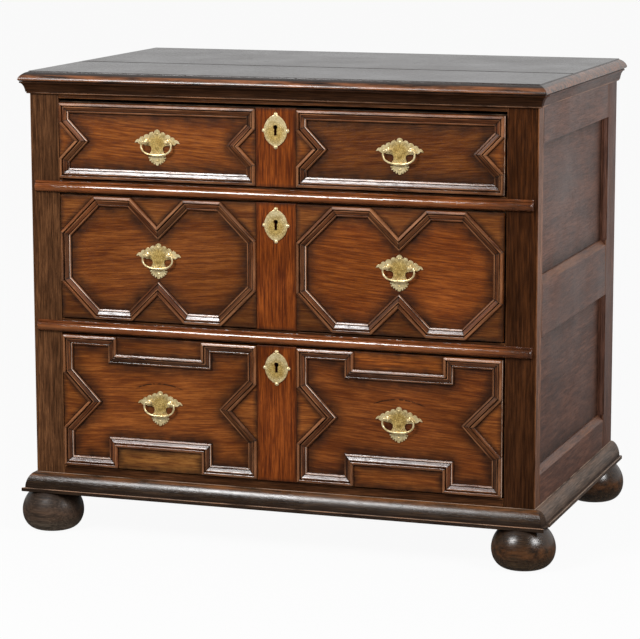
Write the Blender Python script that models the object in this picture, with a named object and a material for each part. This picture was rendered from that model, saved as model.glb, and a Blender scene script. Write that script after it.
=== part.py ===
"""Joined oak chest of three drawers: panelled sides, mitred mouldings, bail handles and bun feet.

Metres, +Z up. The front faces -Y and the origin is on the floor, below the middle of the whole chest.
"""
import bpy
import bmesh
from math import asin, cos, pi, radians, sin
from mathutils import Matrix, Vector

# Clearances
GAP = 0.0003                     # between two pieces that touch or are glued
DRAWER_SIDE_GAP = 0.002          # drawer front to stile
DRAWER_EDGE_GAP = 0.0015         # drawer front to the rails above and below
TOP_DRAWER_HEADROOM = 0.004      # more room over the top drawer, where it has worn down
DRAWER_BACK_GAP = 0.004          # drawer to the back of the chest
RUNNER_PLAY = 0.001              # runner tip to the bottom of its groove
RUNNER_DROP = 0.002              # runner to the lower side of its groove
MORTISE_PLAY = 0.0005            # end of a tenon to the bottom of its mortise
PIN_PLAY = 0.0004                # bail pin to its bore

# Carcass
CARCASS_WIDTH = 0.940
CARCASS_DEPTH = 0.588
STILE_WIDTH = 0.0555
STILE_DEPTH = 0.034
REAR_STILE_WIDTH = 0.040
REAR_STILE_DEPTH = 0.073
RAIL_DEPTH = 0.032
FRIEZE_RAIL_HEIGHT = 0.030
UPPER_DIVIDER_HEIGHT = 0.025
LOWER_DIVIDER_HEIGHT = 0.026
BOTTOM_RAIL_HEIGHT = 0.050
TENON_THICKNESS = 0.010
TENON_SET_BACK = 0.009           # rail face to tenon
TENON_LENGTH = 0.020
TENON_SHOULDER = 0.007
TENON_FOOT_WALL = 0.006          # wood left between a foot's spigot and the tenon above it

# Panelled sides
SIDE_RAIL_THICKNESS = 0.026
SIDE_TOP_RAIL_HEIGHT = 0.085
SIDE_MIDDLE_RAIL_HEIGHT = 0.104
SIDE_BOTTOM_RAIL_HEIGHT = 0.099
SIDE_TENON_SHOULDER = 0.013
SIDE_CHAMFER = 0.010
PANEL_THICKNESS = 0.008
PANEL_RECESS = 0.012
PANEL_TONGUE = 0.007
STEP_WIDTH = 0.007               # moulded step on the rear stile, beside the panels
STEP_DEPTH = 0.006
BACK_THICKNESS = 0.012
BACK_REBATE = 0.012
BACK_BOARD_LIFT = 0.004

# Runners, one on the inside of each side rail
RUNNER_HEIGHT = 0.014
RUNNER_FROM_EDGE = 0.005         # rail edge to runner
RUNNER_END_GAP = 0.002

# Top and its mouldings
TOP_THICKNESS = 0.018
TOP_FRONT_BOARD_DEPTH = 0.252
TOP_OVERHANG = 0.0165
TOP_BACK_OVERHANG = 0.010
TOP_NOSE_FILLET = 0.007          # flat of the top to the nose tip, seen from above
TOP_NOSE_UNDERCUT = 0.004
CORNICE_HEIGHT = 0.022
CORNICE_PROJECTION = 0.013
CORNICE_FILLET = 0.0045
BASE_HEIGHT = 0.035
BASE_PROJECTION = 0.022
BASE_FILLET_HEIGHT = 0.007
BASE_STEP = 0.006
BEAD_HEIGHT = 0.016
BEAD_PROJECTION = 0.009
BEAD_FILLET_HEIGHT = 0.004
BEAD_FILLET_PROJECTION = 0.004
BEAD_QUIRK = 0.001               # bottom of the groove between the bead and its fillet
BEAD_BELOW = 0.002               # underside of the divider rail to its bead
BEAD_SHORT_OF_CORNER = 0.007
BEAD_END_ROUNDING = 0.006

# Bun feet
FOOT_HEIGHT = 0.073
FOOT_RADIUS = 0.056
FOOT_TOP_RADIUS = 0.047
FOOT_SOLE_RADIUS = 0.032
FOOT_WIDEST_HEIGHT = 0.042
FOOT_INSET = 0.0235              # side of the carcass to the foot's centre
REAR_FOOT_INSET = 0.040          # back of the carcass to the rear foot's centre
SPIGOT_RADIUS = 0.009
SPIGOT_LENGTH = 0.020

# Drawers
TOP_DRAWER_HEIGHT = 0.138
MIDDLE_DRAWER_HEIGHT = 0.225
BOTTOM_DRAWER_HEIGHT = 0.244
FRONT_THICKNESS = 0.020
FIELD_SET_BACK = 0.001           # stile face to the sunk fields of the drawer front
FIELD_SINK = 0.006               # muntin and spandrels above the fields
SIDE_THICKNESS = 0.015
SIDE_TOP_DROP = 0.004            # top of the drawer front to the top of its sides
DRAWER_BACK_THICKNESS = 0.012
DRAWER_BACK_DROP = 0.020
BOTTOM_THICKNESS = 0.009
BOTTOM_LIFT = 0.003
BOTTOM_REBATE = 0.010
TAIL_LENGTH = 0.012
TAIL_ROOT = 0.022
TAIL_FLARE = 0.004
TAIL_SPACING = 0.070
GROOVE_DEPTH = 0.0085
GROOVE_FROM_FRONT = 0.006

# Planted mouldings of the drawer fronts
MOULDING_WIDTH = 0.018
MOULDING_RISE = 0.0105
MOULDING_EDGE = 0.001            # edge of the drawer front to its moulding
MUNTIN_WIDTH = 0.075
TOP_NOTCH_HALF = 0.031
TOP_NOTCH_DEPTH = 0.030
OCTAGON_CORNER = 0.066
OCTAGON_NOTCH_HALF = 0.0495
OCTAGON_NOTCH_DEPTH = 0.049
BOTTOM_NOTCH_HALF = 0.050
BOTTOM_NOTCH_DEPTH = 0.048
BLOCK_HALF = 0.081
UPPER_BLOCK_DEPTH = 0.031
LOWER_BLOCK_DEPTH = 0.039

# Brass handles
PLATE_WIDTH = 0.082
PLATE_TOP = 0.019                # posts to the top of the plate
PLATE_TAIL = 0.0405              # posts to the tip of its tail
PLATE_THICKNESS = 0.0016
POST_SPACING = 0.040
POST_RADIUS = 0.0034
POST_LENGTH = 0.010
TOP_POST_LIFT = 0.003            # middle of the drawer front to its posts
MIDDLE_POST_LIFT = 0.0095
BOTTOM_POST_LIFT = 0.005
SHANK_RADIUS = 0.0020
SHANK_PLAY = 0.0004
SHANK_PAST = 0.003
BAIL_WIRE = 0.0016
BAIL_PIN = 0.0011
BAIL_PIN_LENGTH = 0.0022         # past the middle of the post
BAIL_WIDTH = 0.061
BAIL_DROP = 0.0235
BAIL_STAND_OFF = 0.0055          # plate to the middle of the bail wire

# Escutcheons and locks
ESCUTCHEON_WIDTH = 0.043
ESCUTCHEON_HEIGHT = 0.057
ESCUTCHEON_THICKNESS = 0.0018
ESCUTCHEON_DROP = 0.039          # top of the drawer front to the middle of the plate
PIN_HEAD_RADIUS = 0.0038
PIN_HEAD_RISE = 0.0028
KEYHOLE_RADIUS = 0.0036
KEYHOLE_ABOVE = 0.006            # middle of the plate to the round of the keyhole
KEYHOLE_SLOT = 0.0046
KEYHOLE_LENGTH = 0.015
BOLT_WIDTH = 0.018
BOLT_THICKNESS = 0.005
BOLT_LENGTH = 0.050
BOLT_BEHIND_FIELD = 0.008
BOLT_BELOW_EDGE = 0.001
BOLT_THROW = 0.010
STRIKE_PLAY = 0.003              # bolt to the walls of its mortise in the rail

# Heights from the floor, upwards
BOTTOM_OPENING = FOOT_HEIGHT + BOTTOM_RAIL_HEIGHT
LOWER_DIVIDER = BOTTOM_OPENING + BOTTOM_DRAWER_HEIGHT + 2 * DRAWER_EDGE_GAP
MIDDLE_OPENING = LOWER_DIVIDER + LOWER_DIVIDER_HEIGHT
UPPER_DIVIDER = MIDDLE_OPENING + MIDDLE_DRAWER_HEIGHT + 2 * DRAWER_EDGE_GAP
TOP_OPENING = UPPER_DIVIDER + UPPER_DIVIDER_HEIGHT
FRIEZE = TOP_OPENING + TOP_DRAWER_HEIGHT + 2 * DRAWER_EDGE_GAP + TOP_DRAWER_HEADROOM
TOP_UNDERSIDE = FRIEZE + FRIEZE_RAIL_HEIGHT

# Widths and depths
HALF_WIDTH = CARCASS_WIDTH / 2
OPENING_HALF = HALF_WIDTH - STILE_WIDTH
DRAWER_HALF = OPENING_HALF - DRAWER_SIDE_GAP
FRONT_FOOT_INSET = STILE_DEPTH / 2
FOOT_PAST_FRONT = FOOT_RADIUS - FRONT_FOOT_INSET
FOOT_PAST_BACK = FOOT_RADIUS - REAR_FOOT_INSET
FRONT = -(CARCASS_DEPTH - FOOT_PAST_FRONT + FOOT_PAST_BACK) / 2
BACK = FRONT + CARCASS_DEPTH
FIELD = FRONT + FIELD_SET_BACK
FRONT_FACE = FIELD - FIELD_SINK
FRONT_BACK = FIELD + FRONT_THICKNESS
BACK_BOARD_FACE = BACK - BACK_THICKNESS - GAP
DRAWER_END = BACK_BOARD_FACE - DRAWER_BACK_GAP
PANEL_OUTSIDE = HALF_WIDTH - PANEL_RECESS
PANEL_INSIDE = PANEL_OUTSIDE - PANEL_THICKNESS
RAIL_INSIDE = HALF_WIDTH - SIDE_RAIL_THICKNESS
SIDE_TENON = (PANEL_OUTSIDE + PANEL_INSIDE) / 2
RUNNER_TIP = DRAWER_HALF - GROOVE_DEPTH + RUNNER_PLAY
SIDE_FRONT = FRONT + STILE_DEPTH
SIDE_REAR = BACK - REAR_STILE_DEPTH
BOLT_FACE = FIELD + BOLT_BEHIND_FIELD

# The six side rails as lower and upper edges
SIDE_RAILS = {}
SIDE_RAILS["bottom"] = (FOOT_HEIGHT, FOOT_HEIGHT + SIDE_BOTTOM_RAIL_HEIGHT)
SIDE_RAILS["top"] = (TOP_UNDERSIDE - GAP - SIDE_TOP_RAIL_HEIGHT, TOP_UNDERSIDE - GAP)
MIDDLE_RAIL = (SIDE_RAILS["bottom"][1] + SIDE_RAILS["top"][0]) / 2
SIDE_RAILS["middle"] = (MIDDLE_RAIL - SIDE_MIDDLE_RAIL_HEIGHT / 2,
                        MIDDLE_RAIL + SIDE_MIDDLE_RAIL_HEIGHT / 2)

# Underside of each drawer's runner
RUNNERS = {
    "top": SIDE_RAILS["top"][0] + RUNNER_FROM_EDGE,
    "middle": SIDE_RAILS["middle"][1] - RUNNER_FROM_EDGE - RUNNER_HEIGHT,
    "bottom": SIDE_RAILS["bottom"][1] - RUNNER_FROM_EDGE - RUNNER_HEIGHT,
}

# Colour, roughness and metallic value of each material
MATERIALS = {
    "dark_oak": ((0.075, 0.038, 0.021), 0.38, 0.0),
    "brown_oak": ((0.150, 0.062, 0.026), 0.36, 0.0),
    "plain_oak": ((0.310, 0.200, 0.110), 0.65, 0.0),
    "black_oak": ((0.032, 0.020, 0.014), 0.30, 0.0),
    "brass": ((0.620, 0.520, 0.270), 0.32, 1.0),
    "iron": ((0.090, 0.085, 0.080), 0.55, 1.0),
}


def make_material(name):
    """A plain surface with its colour, roughness and metallic value."""
    colour, roughness, metallic = MATERIALS[name]
    material = bpy.data.materials.new(name)
    material.use_nodes = True
    shader = material.node_tree.nodes["Principled BSDF"]
    shader.inputs["Base Color"].default_value = (*colour, 1.0)
    shader.inputs["Roughness"].default_value = roughness
    shader.inputs["Metallic"].default_value = metallic
    material.diffuse_color = (*colour, 1.0)
    return material


def add_object(name, bm):
    """Turn a finished shape into an object with its faces pointing out."""
    bmesh.ops.recalc_face_normals(bm, faces=bm.faces)
    mesh = bpy.data.meshes.new(name)
    bm.to_mesh(mesh)
    bm.free()
    piece = bpy.data.objects.new(name, mesh)
    bpy.context.collection.objects.link(piece)
    return piece


def box(name, low, high):
    """A board with two opposite corners given in any order."""
    first, last = Vector(low), Vector(high)
    size = last - first
    bm = bmesh.new()
    place = Matrix.Translation((first + last) / 2) @ Matrix.Diagonal((*map(abs, size), 1))
    bmesh.ops.create_cube(bm, size=1, matrix=place)
    return add_object(name, bm)


def prism(name, outline, along, start, end):
    """Extrude a flat outline along x, y or z. The outline gives the other two coordinates in order."""
    axis = "xyz".index(along)
    bm = bmesh.new()
    corners = []
    for point in outline:
        place = list(point)
        place.insert(axis, start)
        corners.append(bm.verts.new(place))
    face = bm.faces.new(corners)
    grown = bmesh.ops.extrude_face_region(bm, geom=[face])
    moved = [item for item in grown["geom"] if isinstance(item, bmesh.types.BMVert)]
    shift = Vector((0, 0, 0))
    shift[axis] = end - start
    bmesh.ops.translate(bm, verts=moved, vec=shift)
    return add_object(name, bm)


def skin(name, rows, wrap_rows=False, wrap_columns=False):
    """Cover a grid of points with faces and close the ends that do not wrap round."""
    bm = bmesh.new()
    grid = [[bm.verts.new(point) for point in row] for row in rows]
    row_count, column_count = len(grid), len(grid[0])
    for i in range(row_count if wrap_rows else row_count - 1):
        for j in range(column_count if wrap_columns else column_count - 1):
            next_row, next_column = (i + 1) % row_count, (j + 1) % column_count
            bm.faces.new((grid[i][j], grid[i][next_column],
                          grid[next_row][next_column], grid[next_row][j]))
    if not wrap_rows:
        bm.faces.new(grid[0])
        bm.faces.new(grid[-1])
    if not wrap_columns:
        bm.faces.new([row[0] for row in grid])
        bm.faces.new([row[-1] for row in grid])
    return add_object(name, bm)


def turned(name, centre, along, profile, sides):
    """Turn a profile of (radius, height) points about an axis through the centre."""
    axis = "xyz".index(along)
    rows = []
    for radius, height in profile:
        row = []
        for k in range(sides):
            angle = 2 * pi * k / sides
            offset = [radius * cos(angle), radius * sin(angle)]
            offset.insert(axis, height)
            row.append(Vector(centre) + Vector(offset))
        rows.append(row)
    return smooth(skin(name, rows, wrap_columns=True))


def smooth(piece):
    """Shade round faces smooth and keep true corners sharp."""
    piece.data.shade_smooth()
    piece.data.set_sharp_from_angle(angle=radians(35))
    return piece


def combine(piece, tool, operation):
    """Join a tool to a piece, or cut it out, and remove the tool."""
    modifier = piece.modifiers.new(operation.title(), "BOOLEAN")
    modifier.operation = operation
    modifier.solver = "EXACT"
    modifier.object = tool
    bpy.context.view_layer.objects.active = piece
    bpy.ops.object.modifier_apply(modifier=modifier.name)
    bpy.data.objects.remove(tool)
    return piece


def join(piece, tool):
    return combine(piece, tool, "UNION")


def cut(piece, tool):
    return combine(piece, tool, "DIFFERENCE")


def side_box(name, side, outer, inner, low, high):
    """A board on the left (-1) or right (+1): outer and inner are distances from the middle."""
    return box(name, (side * outer, *low), (side * inner, *high))


def side_prism(name, side, outline, start, end):
    """Extrude an outline of (distance from the middle, height) from front to back on one side."""
    return prism(name, [(side * out, z) for out, z in outline], "y", start, end)


# Carcass
def front_tenon(lower, upper):
    """Heights of a front rail's tenon. The bottom rail's tenon stays above the foot's spigot."""
    if lower == FOOT_HEIGHT:
        return FOOT_HEIGHT + SPIGOT_LENGTH + TENON_FOOT_WALL, upper - TENON_SHOULDER
    return lower + TENON_SHOULDER, upper - TENON_SHOULDER


def side_tenon(lower, upper):
    """Heights of a side rail's tenon."""
    if lower == FOOT_HEIGHT:
        return FOOT_HEIGHT + SPIGOT_LENGTH + TENON_FOOT_WALL, upper - SIDE_TENON_SHOULDER
    return lower + SIDE_TENON_SHOULDER, upper - SIDE_TENON_SHOULDER


FRONT_RAILS = {
    "frieze_rail": (FRIEZE, TOP_UNDERSIDE - GAP),
    "upper_divider_rail": (UPPER_DIVIDER, TOP_OPENING),
    "lower_divider_rail": (LOWER_DIVIDER, MIDDLE_OPENING),
    "front_bottom_rail": (FOOT_HEIGHT, BOTTOM_OPENING),
}
SIDE_NAMES = {-1: "left", 1: "right"}
TENON_FACE = FRONT + TENON_SET_BACK
PANEL_HEIGHTS = {
    "upper": (SIDE_RAILS["middle"][1], SIDE_RAILS["top"][0]),
    "lower": (SIDE_RAILS["bottom"][1], SIDE_RAILS["middle"][0]),
}


def cut_mortise(stile, side, lower, upper, shoulder, direction):
    """Cut a side rail's mortise into a stile, from its shoulder in the given direction."""
    low, high = side_tenon(lower, upper)
    half = TENON_THICKNESS / 2 + GAP
    far = shoulder + direction * (TENON_LENGTH + MORTISE_PLAY)
    near = shoulder - direction * MORTISE_PLAY
    cutter = side_box("mortise", side, SIDE_TENON + half, SIDE_TENON - half,
                      (near, low - GAP), (far, high + GAP))
    cut(stile, cutter)


def cut_panel_groove(stile, side, lower, upper, shoulder, direction):
    """Cut the groove that holds a panel's edge into a stile."""
    far = shoulder + direction * (PANEL_TONGUE + MORTISE_PLAY)
    near = shoulder - direction * MORTISE_PLAY
    reach = PANEL_TONGUE + MORTISE_PLAY
    cutter = side_box("groove", side, PANEL_OUTSIDE + GAP, PANEL_INSIDE - GAP,
                      (near, lower - reach), (far, upper + reach))
    cut(stile, cutter)


def cut_spigot_hole(stile, x, y):
    """Bore the hole for a foot's spigot into the bottom of a stile."""
    radius = SPIGOT_RADIUS + GAP
    profile = [(radius, -GAP), (radius, SPIGOT_LENGTH + MORTISE_PLAY)]
    cut(stile, turned("bore", (x, y, FOOT_HEIGHT), "z", profile, 16))


def front_stile(side):
    stile = side_box(SIDE_NAMES[side] + "_front_stile", side, HALF_WIDTH, OPENING_HALF,
                     (FRONT, FOOT_HEIGHT), (SIDE_FRONT, TOP_UNDERSIDE - GAP))
    for lower, upper in FRONT_RAILS.values():
        low, high = front_tenon(lower, upper)
        cutter = side_box("mortise", side, OPENING_HALF + TENON_LENGTH + MORTISE_PLAY,
                          OPENING_HALF - MORTISE_PLAY, (TENON_FACE - GAP, low - GAP),
                          (TENON_FACE + TENON_THICKNESS + GAP, high + GAP))
        cut(stile, cutter)
    for lower, upper in SIDE_RAILS.values():
        cut_mortise(stile, side, lower, upper, SIDE_FRONT, -1)
    for lower, upper in PANEL_HEIGHTS.values():
        cut_panel_groove(stile, side, lower, upper, SIDE_FRONT, -1)
    cut_spigot_hole(stile, side * (HALF_WIDTH - FOOT_INSET), FRONT + FRONT_FOOT_INSET)
    return stile


def rear_stile(side):
    stile = side_box(SIDE_NAMES[side] + "_rear_stile", side, HALF_WIDTH,
                     HALF_WIDTH - REAR_STILE_WIDTH,
                     (SIDE_REAR, FOOT_HEIGHT), (BACK, TOP_UNDERSIDE - GAP))
    rebate_edge = HALF_WIDTH - REAR_STILE_WIDTH
    rebate = side_box("rebate", side, rebate_edge + BACK_REBATE, rebate_edge - BACK_REBATE,
                      (BACK_BOARD_FACE - GAP, 0), (BACK + BACK_REBATE, TOP_UNDERSIDE + BACK_REBATE))
    cut(stile, rebate)
    for lower, upper in SIDE_RAILS.values():
        cut_mortise(stile, side, lower, upper, SIDE_REAR, 1)
    for lower, upper in PANEL_HEIGHTS.values():
        cut_panel_groove(stile, side, lower, upper, SIDE_REAR, 1)
        step = side_box("step", side, HALF_WIDTH + STEP_DEPTH, HALF_WIDTH - STEP_DEPTH,
                        (SIDE_REAR - STEP_WIDTH, lower), (SIDE_REAR + STEP_WIDTH, upper))
        cut(stile, step)
    cut_spigot_hole(stile, side * (HALF_WIDTH - FOOT_INSET), BACK - REAR_FOOT_INSET)
    return stile


def front_rail(name):
    """A front rail with a tenon at each end, and a mortise for the lock bolt of the drawer below."""
    lower, upper = FRONT_RAILS[name]
    low, high = front_tenon(lower, upper)
    reach = OPENING_HALF - GAP
    rail = box(name, (-reach, FRONT, lower), (reach, FRONT + RAIL_DEPTH, upper))
    for side in (-1, 1):
        tenon = side_box("tenon", side, OPENING_HALF + TENON_LENGTH, reach - TENON_LENGTH,
                         (TENON_FACE, low), (TENON_FACE + TENON_THICKNESS, high))
        join(rail, tenon)
    if name != "front_bottom_rail":
        half = BOLT_WIDTH / 2 + STRIKE_PLAY
        strike = box("strike", (-half, BOLT_FACE - STRIKE_PLAY, lower - STRIKE_PLAY),
                     (half, BOLT_FACE + BOLT_THICKNESS + STRIKE_PLAY, lower + BOLT_THROW))
        cut(rail, strike)
    return rail


def bead_section():
    """Half-round bead with a small fillet above it, as (projection, height) from its lower back edge."""
    section = [(0, 0)]
    for k in range(1, 8):
        angle = pi * k / 8
        section.append((BEAD_PROJECTION * sin(angle) ** 0.8, BEAD_HEIGHT * (1 - cos(angle)) / 2))
    section.append((BEAD_QUIRK, BEAD_HEIGHT))
    section.append((BEAD_FILLET_PROJECTION, BEAD_HEIGHT))
    section.append((BEAD_FILLET_PROJECTION, BEAD_HEIGHT + BEAD_FILLET_HEIGHT))
    section.append((0, BEAD_HEIGHT + BEAD_FILLET_HEIGHT))
    return section


def divider_rail(name):
    """A divider rail with its planted bead, which runs on across the faces of the stiles."""
    rail = front_rail(name)
    lower = FRONT_RAILS[name][0] + BEAD_BELOW
    end = HALF_WIDTH - BEAD_SHORT_OF_CORNER
    stations = []
    for share, bulge in ((0, 0.35), (0.3, 0.75), (1, 1)):
        stations.append((end - share * BEAD_END_ROUNDING, bulge))
    stations = [(-x, bulge) for x, bulge in stations] + stations[::-1]
    rows = []
    for x, bulge in stations:
        rows.append([(x, FRONT - GAP - bulge * out, lower + z) for out, z in bead_section()])
    reach = OPENING_HALF - 2 * GAP
    height = BEAD_HEIGHT + BEAD_FILLET_HEIGHT
    depth = BEAD_FILLET_PROJECTION / 2
    seat = box("seat", (-reach, FRONT - depth, lower + GAP), (reach, FRONT + depth, lower + height - GAP))
    join(rail, seat)
    join(rail, skin("bead", rows, wrap_columns=True))
    return smooth(rail)


def side_rail(side, place):
    """A side rail with tenons, panel grooves and the drawer runner along its inner face."""
    lower, upper = SIDE_RAILS[place]
    shoulder_front, shoulder_rear = SIDE_FRONT + GAP, SIDE_REAR - GAP
    name = "_".join((SIDE_NAMES[side], "side", place, "rail"))
    if place == "top":
        outline = [(HALF_WIDTH, lower), (HALF_WIDTH, upper), (RAIL_INSIDE, upper), (RAIL_INSIDE, lower)]
    else:
        outline = [(HALF_WIDTH, lower), (HALF_WIDTH, upper - SIDE_CHAMFER),
                   (HALF_WIDTH - SIDE_CHAMFER, upper), (RAIL_INSIDE, upper), (RAIL_INSIDE, lower)]
    rail = side_prism(name, side, outline, shoulder_front, shoulder_rear)
    low, high = side_tenon(lower, upper)
    half = TENON_THICKNESS / 2
    for shoulder, direction in ((SIDE_FRONT, -1), (SIDE_REAR, 1)):
        tenon = side_box("tenon", side, SIDE_TENON + half, SIDE_TENON - half,
                         (shoulder - direction * TENON_LENGTH, low),
                         (shoulder + direction * TENON_LENGTH, high))
        join(rail, tenon)
    groove = PANEL_TONGUE + MORTISE_PLAY
    edges = {"top": [(lower, 1)], "middle": [(lower, 1), (upper, -1)], "bottom": [(upper, -1)]}
    for edge, direction in edges[place]:
        cutter = side_box("groove", side, PANEL_OUTSIDE + GAP, PANEL_INSIDE - GAP,
                          (SIDE_FRONT - TENON_LENGTH, edge - direction * MORTISE_PLAY),
                          (SIDE_REAR + TENON_LENGTH, edge + direction * groove))
        cut(rail, cutter)
    base = RUNNERS[place]
    runner = side_box("runner", side, RAIL_INSIDE + PANEL_TONGUE / 2, RUNNER_TIP,
                      (SIDE_FRONT + RUNNER_END_GAP, base),
                      (SIDE_REAR - RUNNER_END_GAP, base + RUNNER_HEIGHT))
    return join(rail, runner)


def side_panel(side, place):
    lower, upper = PANEL_HEIGHTS[place]
    name = "_".join((SIDE_NAMES[side], place, "side_panel"))
    return side_box(name, side, PANEL_OUTSIDE, PANEL_INSIDE,
                    (SIDE_FRONT - PANEL_TONGUE, lower - PANEL_TONGUE),
                    (SIDE_REAR + PANEL_TONGUE, upper + PANEL_TONGUE))


def back_board():
    half = HALF_WIDTH - REAR_STILE_WIDTH + BACK_REBATE - GAP
    return box("back_board", (-half, BACK_BOARD_FACE, FOOT_HEIGHT + BACK_BOARD_LIFT),
               (half, BACK - GAP, TOP_UNDERSIDE - GAP))


def nose_profile():
    """Rounded nose of the top as (overhang, height above the underside), from below to above."""
    flat = TOP_OVERHANG - TOP_NOSE_FILLET
    points = [(TOP_OVERHANG - TOP_NOSE_UNDERCUT, 0)]
    round_height = TOP_THICKNESS * 0.86
    for k in range(1, 8):
        angle = pi * (k / 8 - 0.5)
        bulge = TOP_NOSE_UNDERCUT if angle < 0 else TOP_NOSE_FILLET
        points.append((TOP_OVERHANG - bulge * (1 - cos(angle)), round_height * (1 + sin(angle)) / 2))
    points.append((flat, round_height))
    points.append((flat, TOP_THICKNESS))
    return points


def top_board(name, front, back, nosed):
    """One of the two boards of the top. The nose runs along its ends, and along the front of one."""
    rows = []
    for overhang, height in nose_profile():
        half = HALF_WIDTH + overhang
        edge = front - overhang if nosed else front
        z = TOP_UNDERSIDE + height
        rows.append([(-half, edge, z), (half, edge, z), (half, back, z), (-half, back, z)])
    return smooth(skin(name, rows, wrap_columns=True))


def wrap_round_carcass(name, profile):
    """Run a moulding along the left side, the front and the right side, mitred at the corners."""
    rows = []
    for out, z in profile:
        half = HALF_WIDTH + out
        rows.append([(-half, BACK, z), (-half, FRONT - out, z), (half, FRONT - out, z), (half, BACK, z)])
    return smooth(skin(name, rows, wrap_rows=True))


def cornice_moulding():
    """Hollow moulding between two fillets, tight under the top."""
    lower = TOP_UNDERSIDE - GAP - CORNICE_HEIGHT
    fillet = CORNICE_FILLET / 1.5
    profile = [(GAP, lower), (CORNICE_FILLET, lower), (CORNICE_FILLET, lower + fillet)]
    hollow_out = CORNICE_PROJECTION - CORNICE_FILLET - fillet / 2
    hollow_up = CORNICE_HEIGHT - 2 * fillet
    for k in range(7):
        angle = pi / 2 * k / 6
        profile.append((CORNICE_FILLET + fillet / 2 + hollow_out * (1 - cos(angle)),
                        lower + fillet + hollow_up * sin(angle)))
    profile.append((CORNICE_PROJECTION, lower + CORNICE_HEIGHT))
    profile.append((GAP, lower + CORNICE_HEIGHT))
    return wrap_round_carcass("cornice_moulding", profile)


def base_moulding():
    """Cushion moulding above a projecting fillet, level with the bottom of the stiles."""
    cushion = BASE_PROJECTION - BASE_STEP
    step = FOOT_HEIGHT + BASE_FILLET_HEIGHT
    rise = BASE_HEIGHT - BASE_FILLET_HEIGHT
    profile = [(GAP, FOOT_HEIGHT), (BASE_PROJECTION, FOOT_HEIGHT), (BASE_PROJECTION, step)]
    for k in range(8):
        angle = pi / 2 * k / 8
        profile.append((GAP + cushion * cos(angle) ** 0.8, step + rise * sin(angle)))
    profile.append((GAP, FOOT_HEIGHT + BASE_HEIGHT))
    return wrap_round_carcass("base_moulding", profile)


def bun_foot(name, side, y):
    """A turned foot with a flat sole and a spigot that enters the stile above."""
    crown = FOOT_HEIGHT - GAP
    profile = [(FOOT_SOLE_RADIUS, 0)]
    for k in range(1, 6):
        angle = pi / 2 * k / 5
        swell = FOOT_RADIUS - FOOT_SOLE_RADIUS
        profile.append((FOOT_SOLE_RADIUS + swell * sin(angle) ** 0.85,
                        FOOT_WIDEST_HEIGHT * (1 - cos(angle) ** 0.9)))
    for k in range(1, 5):
        angle = pi / 2 * k / 4
        fall = FOOT_RADIUS - FOOT_TOP_RADIUS
        profile.append((FOOT_TOP_RADIUS + fall * cos(angle),
                        FOOT_WIDEST_HEIGHT + (crown - FOOT_WIDEST_HEIGHT) * sin(angle)))
    profile.append((SPIGOT_RADIUS, crown))
    profile.append((SPIGOT_RADIUS, FOOT_HEIGHT + SPIGOT_LENGTH))
    return turned(name, (side * (HALF_WIDTH - FOOT_INSET), y, 0), "z", profile, 24)


# Drawers
def inset(outline, distance):
    """Move every edge of a closed anticlockwise outline inward and keep its corners mitred."""
    corners = [Vector(point) for point in outline]
    moved = []
    for i, corner in enumerate(corners):
        before = (corner - corners[i - 1]).normalized()
        after = (corners[(i + 1) % len(corners)] - corner).normalized()
        inward = Vector((-before.y - after.y, before.x + after.x))
        moved.append(corner + inward * distance / (1 + before.dot(after)))
    return moved


def top_frame(left, right, lower, upper):
    """Rectangle with a pointed notch in each end."""
    middle = (lower + upper) / 2
    return [(left, lower), (right, lower), (right, middle - TOP_NOTCH_HALF),
            (right - TOP_NOTCH_DEPTH, middle), (right, middle + TOP_NOTCH_HALF), (right, upper),
            (left, upper), (left, middle + TOP_NOTCH_HALF), (left + TOP_NOTCH_DEPTH, middle),
            (left, middle - TOP_NOTCH_HALF)]


def middle_frame(left, right, lower, upper):
    """Two octagons run together, with a pointed notch between them above and below."""
    centre = (left + right) / 2
    corner, half, depth = OCTAGON_CORNER, OCTAGON_NOTCH_HALF, OCTAGON_NOTCH_DEPTH
    return [(left + corner, lower), (centre - half, lower), (centre, lower + depth),
            (centre + half, lower), (right - corner, lower), (right, lower + corner),
            (right, upper - corner), (right - corner, upper), (centre + half, upper),
            (centre, upper - depth), (centre - half, upper), (left + corner, upper),
            (left, upper - corner), (left, lower + corner)]


def bottom_frame(left, right, lower, upper):
    """Rectangle with a pointed notch in each end and a square block above and below."""
    centre, middle = (left + right) / 2, (lower + upper) / 2
    near, far = lower + LOWER_BLOCK_DEPTH, upper - UPPER_BLOCK_DEPTH
    return [(left, lower), (centre - BLOCK_HALF, lower), (centre - BLOCK_HALF, near),
            (centre + BLOCK_HALF, near), (centre + BLOCK_HALF, lower), (right, lower),
            (right, middle - BOTTOM_NOTCH_HALF), (right - BOTTOM_NOTCH_DEPTH, middle),
            (right, middle + BOTTOM_NOTCH_HALF), (right, upper), (centre + BLOCK_HALF, upper),
            (centre + BLOCK_HALF, far), (centre - BLOCK_HALF, far),
            (centre - BLOCK_HALF, upper), (left, upper), (left, middle + BOTTOM_NOTCH_HALF),
            (left + BOTTOM_NOTCH_DEPTH, middle), (left, middle - BOTTOM_NOTCH_HALF)]


DRAWERS = {
    "top": (TOP_OPENING + DRAWER_EDGE_GAP, TOP_DRAWER_HEIGHT, top_frame),
    "middle": (MIDDLE_OPENING + DRAWER_EDGE_GAP, MIDDLE_DRAWER_HEIGHT, middle_frame),
    "bottom": (BOTTOM_OPENING + DRAWER_EDGE_GAP, BOTTOM_DRAWER_HEIGHT, bottom_frame),
}
POST_LIFTS = {"top": TOP_POST_LIFT, "middle": MIDDLE_POST_LIFT, "bottom": BOTTOM_POST_LIFT}
HANDLE_X = (DRAWER_HALF - MOULDING_EDGE + MUNTIN_WIDTH / 2) / 2


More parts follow.
